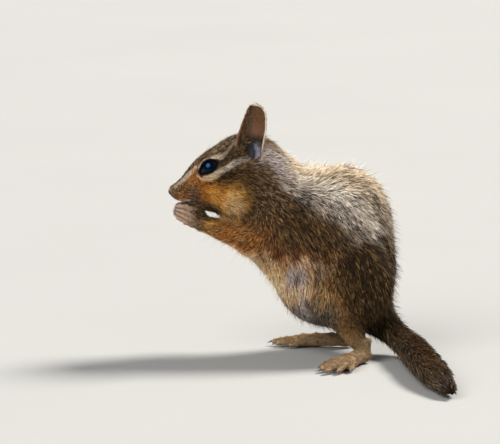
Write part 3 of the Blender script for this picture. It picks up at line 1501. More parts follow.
@dataclass(frozen=True)
class Ear:
    """One upright ear: a thin cupped shell with its front margin rolled over."""

    side: float
    splay: float
    root: Triple = (-21.2, 10.8, 76.6)
    height: float = 16.6
    half_width: float = 5.5
    cup: float = 3.0
    thickness: float = 0.7
    turn: float = math.radians(24)
    lean: float = math.radians(2)
    sunk: float = 0.28
    roll_from: float = 0.7
    roll: float = 1.6
    rows: int = 34
    columns: int = 30

    def axes(self) -> tuple[Array, Array, Array, Array]:
        """The root and the directions up, out of the opening and to the front, before the head's roll."""
        up = unit(np.array([math.sin(self.lean), self.side * math.sin(self.splay), math.cos(self.splay)]))
        out = np.array([-math.sin(self.turn), self.side * math.cos(self.turn), 0])
        out = unit(out - up * (out @ up))
        ahead = np.cross(out, up)
        ahead = -ahead if ahead[0] > 0 else ahead
        return np.array(mirrored(self.root, self.side)), up, out, ahead

    def cap(self, t: Array) -> Array:
        """How the width closes over the round top, at a share of the height."""
        return np.sqrt(np.maximum(1 - (np.maximum(t - 0.68, 0) / 0.325) ** 2, 0))

    def half(self, t: Array, s: Array) -> Array:
        """The width to the front or the rear edge at a share of the height."""
        front = self.half_width - 1.05 + 2.3 * np.clip((0.76 - t) / 0.5, 0, 1.2)
        rear = self.half_width - 0.5 - 0.9 * np.clip((0.45 - t) / 0.3, 0, 1.3)
        return np.where(s > 0, front, rear) * self.cap(t)

    def at(self, t: Array, s: Array, off: Array | float = 0.0) -> Array:
        """Points of the ear.

        Args:
            t: the share of the height.
            s: from -1 at the rear edge to 1 at the front.
            off: the distance out of the middle of the shell, towards the opening.

        Returns:
            The points, in the animal's frame.
        """
        root, up, out, ahead = self.axes()
        half, round_ = self.half(t, s), self.cap(t)
        cup = self.cup * (1 - 0.55 * np.maximum(t, 0)) * np.minimum(1, 0.35 + round_)
        q = np.clip((s - self.roll_from) / (1 - self.roll_from), 0, 1)
        bend = q * math.pi * 0.9
        rho = self.roll * np.clip(1 - 1.05 * t, 0.06, 1)
        flat = np.minimum(s, self.roll_from)
        across = half * flat + rho * np.sin(bend) * (q > 0)
        rise = -cup * (1 - flat**2) + rho * (1 - np.cos(bend))
        way = out * np.cos(bend)[..., None] - ahead * np.sin(bend)[..., None]
        p = root + up * (t * self.height)[..., None] + ahead * across[..., None] + out * rise[..., None]
        return posed((p + way * np.asarray(off)[..., None]).reshape(-1, 3)).reshape(p.shape)

    def grid(self) -> tuple[Array, Array]:
        """The shares of the height, and the places across, of the ear's points."""
        r = np.linspace(0, 1, self.rows)
        t = (1 + self.sunk) * np.sin(np.pi / 2 * r) - self.sunk
        s = np.linspace(-1, 1, self.columns)
        return np.meshgrid(t, s, indexing="ij")

    def edge(self, t: Array, s: Array) -> Array:
        """The thickness, thinner at the margin and the tip."""
        return self.thickness * (1.25 - 0.6 * np.maximum(t, 0)) * (1 - 0.5 * s**6)

    def tint(self, t: Array, s: Array, inner: bool) -> Array:
        """The colour of the skin of the ear."""
        t, s = t.ravel(), s.ravel()
        if not inner:
            return all_over(Hue.BROWN.light * 0.8, t)
        mottle = 1 + 0.22 * np.sin(23 * t + 6 * s) * np.sin(15 * s - 9 * t)
        colour = mixed(np.outer(mottle, tone(90, 60, 34)), tone(54, 38, 24), ramp(s, 0.0, 0.7))
        colour = mixed(colour, tone(120, 82, 66), ramp(t, 0.65, 0.35) * ramp(s, 0.6, 0.0) * 0.55)
        colour = mixed(colour, tone(30, 23, 22), ramp(t, 0.36, 0.2))
        colour = mixed(colour, tone(150, 150, 176), 0.24 * ramp(t, 0.14, 0.04) * ramp(s, 0.35, -0.1))
        rim = np.maximum(ramp(np.abs(s), 0.9, 0.98) * (s < 0), ramp(t, 0.95, 0.985))
        return mixed(colour, Hue.PALE.light, rim)

    def sheet(self) -> Sheet:
        """The shell, closed."""
        t, s = self.grid()
        thick = self.edge(t, s) / 2
        inner, outer = self.at(t, s, thick), self.at(t, s, -thick)
        rings = np.concatenate([inner, outer[:, ::-1]], 1)
        made = lofted(rings)
        inside, outside = self.tint(t, s, True), self.tint(t, s[:, ::-1], False)
        both = np.concatenate([inside.reshape(*t.shape, 3), outside.reshape(*t.shape, 3)], 1).reshape(-1, 3)
        made.colours = np.vstack([both, both[:1], Hue.PALE.light[None]])
        return made

    def side_sheet(self, inner: bool) -> tuple[Sheet, Array, Array]:
        """One side of the shell as an open sheet to grow hair on, with the places of its points."""
        t, s = self.grid()
        points = self.at(t, s, self.edge(t, s) / 2 * (1 if inner else -1))
        made = Sheet(points.reshape(-1, 3), net(*t.shape, False, False))
        _, _, out, _ = self.axes()
        towards = made.normals().mean(0) @ out > 0
        if towards != inner:
            made.faces = made.faces[:, ::-1]
        return made, t.ravel(), s.ravel()

    def local(self, points: Array) -> tuple[Array, Array]:
        """The share of the height, and the place across, of points of the ear."""
        root, up, _, ahead = self.axes()
        pose = np.array(head_pose())
        d = (points - pose[:3, 3]) @ pose[:3, :3] - root
        t, over = d @ up / self.height, d @ ahead
        return t, over / np.maximum(self.half(t, over), 0.5)

    def opened(self, roots: Array) -> Array:
        """The places of roots on the ear laid open, in the unit square."""
        t, s = self.local(roots)
        return np.column_stack([np.clip(t * 0.7 + 0.25, 0, 1), np.clip(s * 0.45 + 0.5, 0, 1)])

    def inside(self, points: Array) -> tuple[Array, Array, Array]:
        """The thin hair in the cup: its colour, and the shares of pale and dark hairs."""
        t, s = self.local(points)
        colour = self.tint(np.maximum(t, 0), np.clip(s, -1, 1), True) * 1.1
        return colour, even(t, 0.1), 0.2 * ramp(t, 0.5, 0)

    def outside(self, points: Array) -> tuple[Array, Array, Array]:
        """The closer hair of the back and the front margin."""
        t, s = self.local(points)
        base = mixed(all_over(Hue.BROWN.light, t), Hue.TAN.light, 0.35 * ramp(s, 0.4, -0.6))
        base = mixed(base, Hue.RUST.light, 0.35 * ramp(s, 0.2, 0.8))
        return base, even(t, 0.3), even(t, 0.25)

    def coats(self, groomer: Groomer, seed: int) -> list[Tufts]:
        """The short hair of the ear: thin inside, closer outside, and a pale fringe on its margin."""
        _, up, out, ahead = self.axes()
        turn = np.array(head_pose())[:3, :3]
        up, out, ahead = turn @ up, turn @ out, turn @ ahead
        centre = posed((np.array(self.axes()[0]) + self.axes()[1] * self.height * 0.5)[None])[0]
        made = []

        def blue(points: Array) -> tuple[Array, Array, Array]:
            """The bluish tuft at the foot of the cup."""
            return all_over(tone(104, 106, 134), points), even(points, 0.25), even(points, 0.55)

        def cream(points: Array) -> tuple[Array, Array, Array]:
            """The pale fringe."""
            return all_over(Hue.PALE.light, points), even(points, 0.6), np.zeros(len(points))

        def along(way: Array) -> Callable[[Array], Array]:
            """One way for all the hairs of a coat."""
            return lambda points: all_over(way, points)

        def outward(points: Array) -> Array:
            """Away from the middle of the ear, and up."""
            return unit(points - centre) + 0.5 * up

        def grow(sheet: Sheet, lie: Callable[[Array], Array], density: Array, size: Triple,
                 paint: Callable[[Array], tuple[Array, Array, Array]], step: int) -> None:
            """Adds one coat, its size as length, rise and width."""
            made.append(groomer.over_form(sheet, lie, density, *size, paint, self.opened, seed + step))

        sheet, t, s = self.side_sheet(True)
        cup = 5.5 * ramp(t, -0.1, 0.1) * ramp(t, 1, 0.9)
        grow(sheet, along(up - 0.5 * ahead), cup, (0.9, 0.28, 0.11), self.inside, 0)
        foot = 5.0 * (ramp(t, 0.13, 0.02) * ramp(t, -0.26, -0.12)) * ramp(s, 0.35, 0.0)
        grow(sheet, along(up - 0.4 * ahead + 0.2 * out), foot, (2.0, 0.4, 0.16), blue, 1)
        front = 15.0 * ramp(s, 0.42, 0.66) * ramp(t, -0.1, 0.05) * ramp(t, 0.95, 0.8)
        grow(sheet, along(up + 0.15 * ahead), front, (1.5, 0.25, 0.15), self.outside, 5)
        sheet, t, s = self.side_sheet(False)
        back = 10.0 * ramp(t, -0.2, 0) * ramp(t, 1, 0.97)
        grow(sheet, along(up - 0.25 * ahead), back, (1.35, 0.25, 0.13), self.outside, 2)
        margin = np.maximum(ramp(np.abs(s), 0.93, 0.99) * (s < 0), ramp(t, 0.93, 0.98)) * ramp(t, 0.02, 0.15)
        fringe = 46.0 * np.maximum(margin, 0.3 * ramp(s, 0.93, 0.99) * ramp(t, 0.35, 0.6))
        for inner in (True, False):
            grow(self.side_sheet(inner)[0], outward, fringe, (0.6, 0.1, 0.11), cream, 3 + inner)
        return made

    def hollow(self, x: Array, y: Array, z: Array) -> Array:
        """The distance from the bowl of the ear where it runs down into the head, given unrolled places."""
        root, up, out, ahead = self.axes()
        centre = root + up * 0.6 + out * 1.3 + ahead * 0.4
        d = (x - centre[0], y - centre[1], z - centre[2])
        local = [d[0] * a[0] + d[1] * a[1] + d[2] * a[2] for a in (ahead, out, up)]
        return Ellipsoid((0, 0, 0), (self.half_width - 2.6, self.cup - 0.5, 4.2)).distance(*local)


EARS = {"left": Ear(-1.0, math.radians(9)), "right": Ear(1.0, math.radians(24))}


@dataclass(frozen=True)
class Tail:
    """The tail laid along the floor: its core, and the reach of the brush round it."""

    line: tuple[Triple, ...] = (
        (24.5, 1.2, 15), (30.5, -1, 8.6), (35, -8, 5.4), (37.5, -20, 5), (39.5, -38, 4.8), (42, -57, 4.5),
        (45, -76, 3.4), (47, -86, 2.6),
    )
    half_width: float = 6.6
    half_height: float = 5.2
    core: float = 0.42
    lowest: float = 0.2

    def run(self) -> tuple[Array, Array]:
        """Close-set points of the middle line, and the share of the length at each."""
        points = spline(self.line, 200)
        steps = np.concatenate([[0], np.cumsum(np.linalg.norm(np.diff(points, axis=0), axis=1))])
        return points, steps / steps[-1]

    def length(self) -> float:
        """The length of the middle line."""
        return float(np.linalg.norm(np.diff(spline(self.line, 200), axis=0), axis=1).sum())

    def frame(self, t: Array) -> tuple[Array, Array, Array, Array]:
        """The middle line's point and its directions ahead, to the side and up, at shares of the length."""
        points, shares = self.run()
        inside = np.clip(t, 0, 1)
        centre = np.column_stack([np.interp(inside, shares, points[:, i]) for i in range(3)])
        ways = unit(np.gradient(points, axis=0))
        ahead = unit(np.column_stack([np.interp(inside, shares, ways[:, i]) for i in range(3)]))
        centre = centre + ahead * ((t - inside) * self.length())[:, None]
        side = unit(np.column_stack([ahead[:, 1], -ahead[:, 0], np.zeros(len(t))]))
        return centre, ahead, side, np.cross(ahead, side)

    def reach(self, t: Array) -> Array:
        """The reach of the brush next to its greatest."""
        root = 0.85 + 0.15 * np.minimum(np.maximum(t, 0) / 0.25, 1)
        return root * np.sqrt(np.maximum(1 - np.maximum((t - 0.6) / 0.5, 0) ** 2, 0))

    def at(self, t: Array, angle: Array, share: Array) -> Array:
        """Points of the brush at an angle round it and a share of its reach."""
        centre, _, side, top = self.frame(t)
        wide = (np.cos(angle) * self.half_width * share)[:, None]
        high = (np.sin(angle) * self.half_height * share)[:, None]
        return centre + side * wide + top * high

    def sheet(self, rows: int = 60, sides: int = 16) -> Sheet:
        """The core, skin deep under the brush."""
        t = np.linspace(0, 0.95, rows)
        a = 2 * np.pi * np.arange(sides) / sides
        tt, aa = np.meshgrid(t, a, indexing="ij")
        thin = self.core * (1 - 0.45 * ramp(tt, 0.1, 0.9))
        share = (thin * self.reach(tt)).ravel()
        made = lofted(self.at(tt.ravel(), aa.ravel(), share).reshape(rows, sides, 3))
        made.points[:, 2] = np.maximum(made.points[:, 2], self.lowest)
        made.colours = all_over(Hue.UMBER.light * 0.7, made.points)
        return made

    def coat(self, groomer: Groomer, count: int, seed: int) -> Tufts:
        """The brush: long flat-lying tufts, dark with pale tips along its edge."""
        rng = np.random.default_rng(seed)
        t = rng.uniform(-0.02, 0.97, count)
        a = rng.uniform(0, 2 * np.pi, count)
        roots = self.at(t, a, self.core * (1 - 0.45 * ramp(t, 0.1, 0.9)) * self.reach(t) * 0.8)
        size = rng.uniform(11, 19, count) * (0.75 + 0.25 * ramp(t, 0, 0.15)) * (1 - 0.25 * ramp(t, 0.75, 1))
        layer = rng.uniform(0.45 * ramp(t, 0.92, 0.7), 1.08)
        end = t + size / self.length()
        a_end = a + rng.normal(0, 0.16, count)
        fan = np.minimum(end, 0.96 + 0.1 * rng.random(count) ** 0.7)
        middles = self.at(t + 0.5 * (fan - t), (a + a_end) / 2, 0.8 * layer * self.reach(t + 0.5 * (fan - t)))
        tips = self.at(fan, a_end, layer * self.reach(fan) * (0.12 + 0.88 * ramp(fan, 1.07, 0.86)))
        drawn, lot = groomer.gathered(tips, np.full(count, 8.0), rng)
        tips = (tips + drawn) / 2
        centre, _, _, _ = self.frame(t)
        normals = unit(roots - centre)
        lift = rng.uniform(0, 0.7, count)
        for ends in (middles, tips):
            ends[:, 2] = np.maximum(ends[:, 2], self.lowest + 0.25 + lift)
        roots[:, 2] = np.maximum(roots[:, 2], self.lowest + 0.3)
        edge = ramp(layer, 0.8, 1.0)
        under = ramp(np.sin(a), -0.6, -0.95)
        base = mixed(np.repeat(Hue.UMBER.light[None] * 0.8, count, 0), Hue.RUST.light * 0.4, 0.3 * under)
        base = mixed(base, Hue.OLIVE.light * 0.7, 0.5 * ramp(noise(roots, 8, 17), -0.6, 0.6))
        base = mixed(base, Hue.BLACK.light, 0.7 * ramp(fan, 0.8, 1.0))
        base = mixed(base, Hue.GREY.light * 0.9, 0.5 * edge * ramp(np.abs(np.cos(a)), 0.6, 0.95))
        pale = 0.02 + 0.16 * edge * ramp(np.abs(np.cos(a)), 0.5, 0.9)
        colours = groomer.shades(base, pale, np.full(count, 0.3), rng, 0.5 + 0.5 * (lot - 0.5))
        places = np.column_stack([np.clip(t, 0, 1), a / (2 * np.pi)])
        return Tufts(roots, middles, tips, normals, 0.47 * rng.uniform(0.6, 1.2, count), colours, places)


@dataclass
class Pelt:
    """The skin under the coat: trunk, head and limbs, feet, ears and the core of the tail, as one piece."""

    body: Body
    markings: Markings
    tail: Tail
    fine: float = FULL_GRID[0]
    coarse: float = FULL_GRID[1]
    shin_cut: float = 6.5
    foot_top: float = 8.5
    sheets: dict[str, Sheet] = field(default_factory=dict)

    def stops(self, low: float, high: float, fine: tuple[float, float]) -> Array:
        """The planes of a grid along one axis, closer set over a stretch of it."""
        before = np.arange(low, fine[0], self.coarse)
        close = np.arange(fine[0], fine[1], self.fine)
        return np.concatenate([before, close, np.arange(fine[1], high, self.coarse)])

    def distance(self, x: Array, y: Array, z: Array) -> Array:
        """The distance from the skin over a grid, worked out in full only near it."""
        total = self.body.outline(x, y, z)
        x, y, z = (np.broadcast_to(axis, total.shape) for axis in (x, y, z))
        near = (total > -4.5) & (total < 1.6)
        near |= (x < -36) & (np.abs(y) < 9.5) & (z > 43) & (z < 61)
        for side in SIDES.values():
            centre = EyeFrame(side).axes()[0]
            near |= (x - centre[0]) ** 2 + (y - centre[1]) ** 2 + (z - centre[2]) ** 2 < 36
            near |= EARS["left" if side < 0 else "right"].hollow(*rolled(x, y, z)) < 1.5
        total = total + 1.2
        points = np.column_stack([axis[near] for axis in (x, y, z)])
        total[near] = self.cut(points)
        return total

    def cut(self, points: Array) -> Array:
        """The distance of points from the skin, its shins cut off above the feet."""
        total = self.body.skin(points)
        hx, hy, hz = rolled(*points.T)
        for ear in EARS.values():
            total = np.maximum(total, -ear.hollow(hx, hy, hz))
        for pose in HIND.values():
            far = np.hypot(points[:, 0] - pose.heel[0] + 0.5, points[:, 1] - pose.heel[1])
            total = np.where(far < 6, np.maximum(total, self.shin_cut - points[:, 2]), total)
        return total

    def foot_distance(self, pose: HindPose) -> Callable[[Array, Array, Array], Array]:
        """The distance from one hind foot with the foot of its shin."""
        def value(x: Array, y: Array, z: Array) -> Array:
            """The distance from the foot joined to the end of its shin."""
            shin = leg(pose).distance(x, y, z) + 0.45
            return np.maximum(smooth(foot(pose).distance(x, y, z), shin, 1.5), z - self.foot_top)
        return value

    def build(self) -> Sheet:
        """Makes the sheets of every part, painted, and joins them."""
        lines = (self.stops(-54.5, 42, (-54.5, -29)), self.stops(-30, 31, (-12.6, 12.6)),
                 self.stops(0.6, 93, (44, 83)))
        trunk = polygonize(self.distance, lines)
        trunk.points = settled(self.cut, trunk.points, 1)
        self.sheets["body"] = trunk
        for name, pose in HIND.items():
            tips = np.array([line[3] for line in toe_bones(pose)] + [pose.along(-3.5, 0)])
            low, high = tips.min(0) - 5, tips.max(0) + 5
            step = self.fine * 1.1
            spans = (np.arange(low[0], high[0], step), np.arange(low[1], high[1], step),
                     np.arange(-0.9, self.foot_top + 1, step))
            value = self.foot_distance(pose)
            sheet = polygonize(value, spans)
            sheet.points = settled(lambda p, v=value: v(*p.T), sheet.points, 1)
            sheet.points[:, 2] = np.maximum(sheet.points[:, 2], 0.0)
            self.sheets[f"foot_{name}"] = sheet
        for name in ("body", "foot_left", "foot_right"):
            self.sheets[name].colours = self.paint(self.sheets[name].points)
        for name, ear in EARS.items():
            self.sheets[f"ear_{name}"] = ear.sheet()
        self.sheets["tail"] = self.tail.sheet()
        return joined([Sheet(s.points, s.triangles(), s.colours) for s in self.sheets.values()])

    def paint(self, points: Array) -> Array:
        """The colour of the skin: the coat's own where furred, and bare on the hands, soles and nose."""
        colour, _, dark = self.markings.base(points)
        colour = colour * (0.62 - 0.2 * dark)[:, None]
        wander = noise(points, 2.5, 71)[:, None]
        hands = nearest(HANDS, *points.T)
        palm = ramp(hands, 1.2, 0.3) * ramp(points[:, 0] - 0.35 * (points[:, 2] - 50), -40.9, -43.6)
        brown = 0.35 * ramp(wander[:, 0], 0, 0.8)
        tint = mixed(Hue.SKIN.light * (0.8 + 0.2 * wander), Hue.BROWN.light, brown)
        colour = mixed(colour, tint, palm)
        folds = self.creases(points)
        colour = mixed(colour, Hue.DUSK.light * 0.3, 0.95 * folds * palm)
        feet = ramp(points[:, 2], 8.5, 6.0) * ramp(np.abs(points[:, 1]), 9, 12) * ramp(points[:, 0], 26, 22)
        colour = mixed(colour, Hue.TAN.light * (0.5 + 0.1 * wander), feet)
        colour = mixed(colour, Hue.SKIN.light * 0.45, feet * ramp(points[:, 2], 1.0, 0.4))
        hx, hy, hz = rolled(*points.T)
        from_nose = (np.column_stack([hx, hy, hz]) - (-52.4, 0, 60.6)) / (2.2, 2.6, 1.9)
        nose = ramp(np.linalg.norm(from_nose, axis=1), 1.15, 0.75)
        colour = mixed(colour, Hue.TAN.light * 0.5, nose)
        holes = (np.abs(np.column_stack([hx, hy, hz])) - (52.4, 1.5, 59.8)) / (1.4, 1.0, 1.3)
        colour = mixed(colour, Hue.BLACK.light, ramp(np.linalg.norm(holes, axis=1), 1.3, 0.8))
        inside = ramp(self.body.at(points) + self.body.coat.depth(points), -0.5, -1.2) * ramp(hx, -40, -44)
        colour = mixed(colour, tone(40, 22, 20), inside)
        bowls = np.minimum(*(ear.hollow(hx, hy, hz) for ear in EARS.values()))
        colour = mixed(colour, tone(24, 19, 20), ramp(bowls, 0.6, 0.1))
        glow = ramp(hx + 0.6 * wander[:, 0], -20.8, -20.0) * ramp(hx, -18.4, -19.2)
        return mixed(colour, tone(96, 100, 132), 0.8 * ramp(bowls, 0.6, 0.1) * glow)

    def creases(self, points: Array) -> Array:
        """How much points of a hand lie in the folds between its fingers."""
        share = np.zeros(len(points))
        for side in SIDES.values():
            reach = []
            for bones in finger_bones(side)[:4]:
                spans = [Cone(a, 0, b, 0).distance(*points.T) for a, b in zip(bones, bones[1:])]
                reach.append(np.min(spans, 0))
            two = np.sort(np.array(reach), 0)[:2]
            share = np.maximum(share, ramp(two[1] - two[0], 0.55, 0.1) * (two[0] < 2))
        return share


@dataclass
class Eyes:
    """The two eyes, with the black rims of their lids."""

    rim: float = 0.27
    rim_radius: float = 4.74

    def ball(self, side: float, rows: int = 40, columns: int = 60) -> Sheet:
        """One eyeball, its pole out of the head."""
        centre, ahead, out, up = EyeFrame(side).axes()
        lat = np.linspace(0.02, math.pi - 0.02, rows)
        lon = 2 * np.pi * np.arange(columns) / columns
        a, b = np.meshgrid(lat, lon, indexing="ij")
        x, y, z = np.sin(a) * np.cos(b), np.cos(a), np.sin(a) * np.sin(b)
        p = centre + EYE_RADIUS * (x[..., None] * ahead + y[..., None] * out + z[..., None] * up)
        made = lofted(p)
        away = np.linalg.norm((made.points - centre) / EYE_RADIUS - out, axis=1)
        made.colours = mixed(all_over(tone(4, 3, 3), away), tone(34, 20, 12), ramp(away, 0.52, 0.6) * 0.7)
        made.colours = mixed(made.colours, tone(5, 4, 4), ramp(away, 0.86, 0.98))
        return made

    def lid(self, side: float) -> Sheet:
        """The bare black rim of the lids of one eye."""
        centre, ahead, out, up = EyeFrame(side).axes()
        turn = np.linspace(0, 2 * np.pi, 97)[:-1]
        x, z = almond(turn)
        x, z = x * 0.955, z * 0.93
        y = np.sqrt(LID_RADIUS**2 - x**2 - z**2)
        ways = unit(x[:, None] * ahead + y[:, None] * out + z[:, None] * up)
        line = centre + ways * self.rim_radius
        ahead_of = unit(np.roll(line, -1, 0) - np.roll(line, 1, 0))
        across = np.cross(ahead_of, ways)
        a = 2 * np.pi * np.arange(10) / 10
        wide = self.rim * (1 + 0.35 * np.abs(np.cos(turn)) ** 6)
        ring = np.cos(a)[None, :, None] * across[:, None] * wide[:, None, None]
        ring = ring + np.sin(a)[None, :, None] * ways[:, None] * (0.8 * self.rim)
        rings = line[:, None] + ring
        made = Sheet(rings.reshape(-1, 3), net(*rings.shape[:2], True, True))
        out_of = made.points - np.repeat(line, rings.shape[1], 0)
        if (made.normals() * out_of).sum() < 0:
            made.faces = made.faces[:, ::-1]
        made.colours = all_over(tone(8, 7, 7), made.points)
        return made


@dataclass
class Claws:
    """The claws of the fingers and toes."""

    finger: float = 1.9
    finger_width: float = 0.36
    toe_width: float = 0.56

    def nail(self, root: Array, way: Array, drop: Array, length: float, width: float) -> Sheet:
        """One claw: a tapered hook from its root."""
        t = np.linspace(0, 1, 7)[:, None]
        line = root + way * length * t + drop * (length * 0.42) * t**2.2
        size = width * (1 - 0.9 * t[:, 0] ** 1.4)
        made = tube(line, size * 0.8, size, 7, tuple(-drop))
        shade = np.repeat(np.clip(t[:, 0], 0, 1), 7)
        colours = mixed(all_over(tone(66, 48, 38), shade), tone(128, 104, 82), shade**2)
        made.colours = np.vstack([colours, colours[:1], colours[-1:]])
        return made

    def sheet(self) -> Sheet:
        """All the claws."""
        made = []
        for side in SIDES.values():
            for bones in finger_bones(side)[:4]:
                knuckle, tip = np.array(bones[-2]), np.array(bones[-1])
                way = unit(tip - knuckle)
                drop = unit(np.array([-0.5, -0.2 * side, 0.8]))
                made.append(self.nail(tip - way * 0.5, way, drop, self.finger, self.finger_width))
        for pose in HIND.values():
            for line in toe_bones(pose):
                root, end = np.array(line[3]), np.array(line[4])
                way = unit((end - root) * (1, 1, 0))
                start = root + np.array([0, 0, 0.35]) - way * 0.7
                made.append(self.nail(start, way, np.array([0, 0, -0.75]), TOE_CLAW + 0.6, self.toe_width))
        return joined([Sheet(s.points, s.triangles(), s.colours) for s in made])


@dataclass
class Bristles:
    """Stiff single hairs, grown by a node tree from roots that carry their way and size."""

    name: str = "bristles"
    length: float = 10.0
    radius: float = 0.055
    bend: float = 1.6
    seed: int = 5

    def tree(self, material: bpy.types.Material) -> bpy.types.GeometryNodeTree:
        """The node tree, with its named inputs."""
        tree = bpy.data.node_groups.new(self.name, "GeometryNodeTree")
        tree.interface.new_socket("Geometry", in_out="INPUT", socket_type="NodeSocketGeometry")
        for name in ("Length", "Radius", "Bend"):
            tree.interface.new_socket(name, in_out="INPUT", socket_type="NodeSocketFloat")
        tree.interface.new_socket("Seed", in_out="INPUT", socket_type="NodeSocketInt")
        tree.interface.new_socket("Geometry", in_out="OUTPUT", socket_type="NodeSocketGeometry")

        kinds = {
            "given": "NodeGroupInput", "out": "NodeGroupOutput", "arc": "GeometryNodeCurveQuadraticBezier",
            "half": "ShaderNodeMath", "middle": "ShaderNodeCombineXYZ", "end": "ShaderNodeCombineXYZ",
            "along": "GeometryNodeSplineParameter", "taper": "ShaderNodeMapRange",
            "thin": "GeometryNodeSetCurveRadius", "ring": "GeometryNodeCurvePrimitiveCircle",
            "body": "GeometryNodeCurveToMesh", "way": "GeometryNodeInputNamedAttribute",
            "aim": "FunctionNodeAlignRotationToVector", "size": "GeometryNodeInputNamedAttribute",
            "vary": "FunctionNodeRandomValue", "scale": "ShaderNodeMath",
            "set": "GeometryNodeInstanceOnPoints", "real": "GeometryNodeRealizeInstances",
            "dress": "GeometryNodeSetMaterial",
        }
        nodes = {name: tree.nodes.new(kind) for name, kind in kinds.items()}
        for name, key, value in (
                ("half", "operation", "MULTIPLY"), ("scale", "operation", "MULTIPLY"), ("aim", "axis", "Z"),
                ("way", "data_type", "FLOAT_VECTOR"), ("size", "data_type", "FLOAT"),
                ("vary", "data_type", "FLOAT")):
            setattr(nodes[name], key, value)
        for name, key, value in (
                ("arc", "Resolution", 6), ("half", 1, 0.5), ("arc", "Start", (0, 0, 0)),
                ("taper", "To Min", 1.0), ("taper", "To Max", 0.12), ("ring", "Resolution", 3),
                ("body", "Fill Caps", True),
                ("way", "Name", "way"), ("size", "Name", "size"), ("vary", 2, 0.85), ("vary", 3, 1.12),
                ("dress", "Material", material)):
            nodes[name].inputs[key].default_value = value
        for start, output, end, key in (
                ("given", "Length", "half", 0), ("half", 0, "middle", "Z"), ("given", "Bend", "end", "X"),
                ("given", "Length", "end", "Z"), ("middle", 0, "arc", "Middle"), ("end", 0, "arc", "End"),
                ("along", "Factor", "taper", "Value"), ("arc", "Curve", "thin", "Curve"),
                ("taper", "Result", "thin", "Radius"), ("given", "Radius", "ring", "Radius"),
                ("thin", "Curve", "body", "Curve"), ("ring", "Curve", "body", "Profile Curve"),
                ("taper", "Result", "body", "Scale"), ("way", "Attribute", "aim", "Vector"),
                ("given", "Seed", "vary", "Seed"), ("size", "Attribute", "scale", 0), ("vary", 1, "scale", 1),
                ("given", "Geometry", "set", "Points"), ("body", "Mesh", "set", "Instance"),
                ("aim", "Rotation", "set", "Rotation"), ("scale", 0, "set", "Scale"),
                ("set", "Instances", "real", "Geometry"), ("real", "Geometry", "dress", "Geometry"),
                ("dress", "Geometry", "out", "Geometry")):
            if key != "Scale" or key in nodes[end].inputs:
                tree.links.new(nodes[start].outputs[output], nodes[end].inputs[key])
        return tree

    def grow(self, maker: Maker, roots: Array, ways: Array, sizes: Array, colours: Array, slot: str,
             material: bpy.types.Material) -> bpy.types.Object:
        """Bristles at roots.

        Args:
            maker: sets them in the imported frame.
            roots: where they grow, in millimetres.
            ways: the directions they point.
            sizes: their lengths next to the tree's.
            colours: their colours.
            slot: the record's slot they stand for.
            material: their finish.

        Returns:
            The piece, as a plain mesh.
        """
        mesh = bpy.data.meshes.new(f"{self.name}_roots")
        mesh.vertices.add(len(roots))
        mesh.vertices.foreach_set("co", maker.place(roots).astype(np.float32).ravel())
        full = np.column_stack([colours, np.ones(len(roots))])
        for name, kind, key, values in (
                ("way", "FLOAT_VECTOR", "vector", ways), ("size", "FLOAT", "value", sizes),
                ("coat", "FLOAT_COLOR", "color", full)):
            carried = mesh.attributes.new(name, kind, "POINT")
            carried.data.foreach_set(key, values.astype(np.float32).ravel())
        source = bpy.data.objects.new(f"{self.name}_source", mesh)
        bpy.context.scene.collection.objects.link(source)
        modifier = source.modifiers.new("grow", "NODES")
        tree = self.tree(material)
        modifier.node_group = tree
        named = {item.name: item.identifier for item in tree.interface.items_tree if item.in_out == "INPUT"}
        modifier[named["Length"]] = self.length * MM
        modifier[named["Radius"]] = self.radius * MM
        modifier[named["Bend"]] = self.bend * MM
        modifier[named["Seed"]] = self.seed
        bpy.context.view_layer.update()
        ready = source.evaluated_get(bpy.context.evaluated_depsgraph_get())
        plain = bpy.data.meshes.new_from_object(ready)
        plain.name = self.name
        bpy.data.objects.remove(source)
        made = bpy.data.objects.new(self.name, plain)
        bpy.context.scene.collection.objects.link(made)
        plain.polygons.foreach_set("use_smooth", np.ones(len(plain.polygons), bool))
        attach(made, "root")
        LOG.info("%s: %d faces", self.name, len(plain.polygons))
        return made


class Region(Enum):
    """The pieces that the coat is made in, with the record's slot of each."""

    FACE = ("face", "face_coat")
    CROWN = ("crown", "face_coat")
    NECK = ("neck", "back_coat")
    CHEST = ("chest", "belly_coat")
    TRUNK = ("trunk", "back_coat")
    BELLY = ("belly", "belly_coat")
    RUMP = ("rump", "back_coat")
    LEG = ("leg", "back_coat")
    ARM = ("arm", "face_coat")

    def __init__(self, label: str, slot: str) -> None:
        """Takes the label used in the names of pieces, and the record's slot."""
        self.label = label
        self.slot = slot


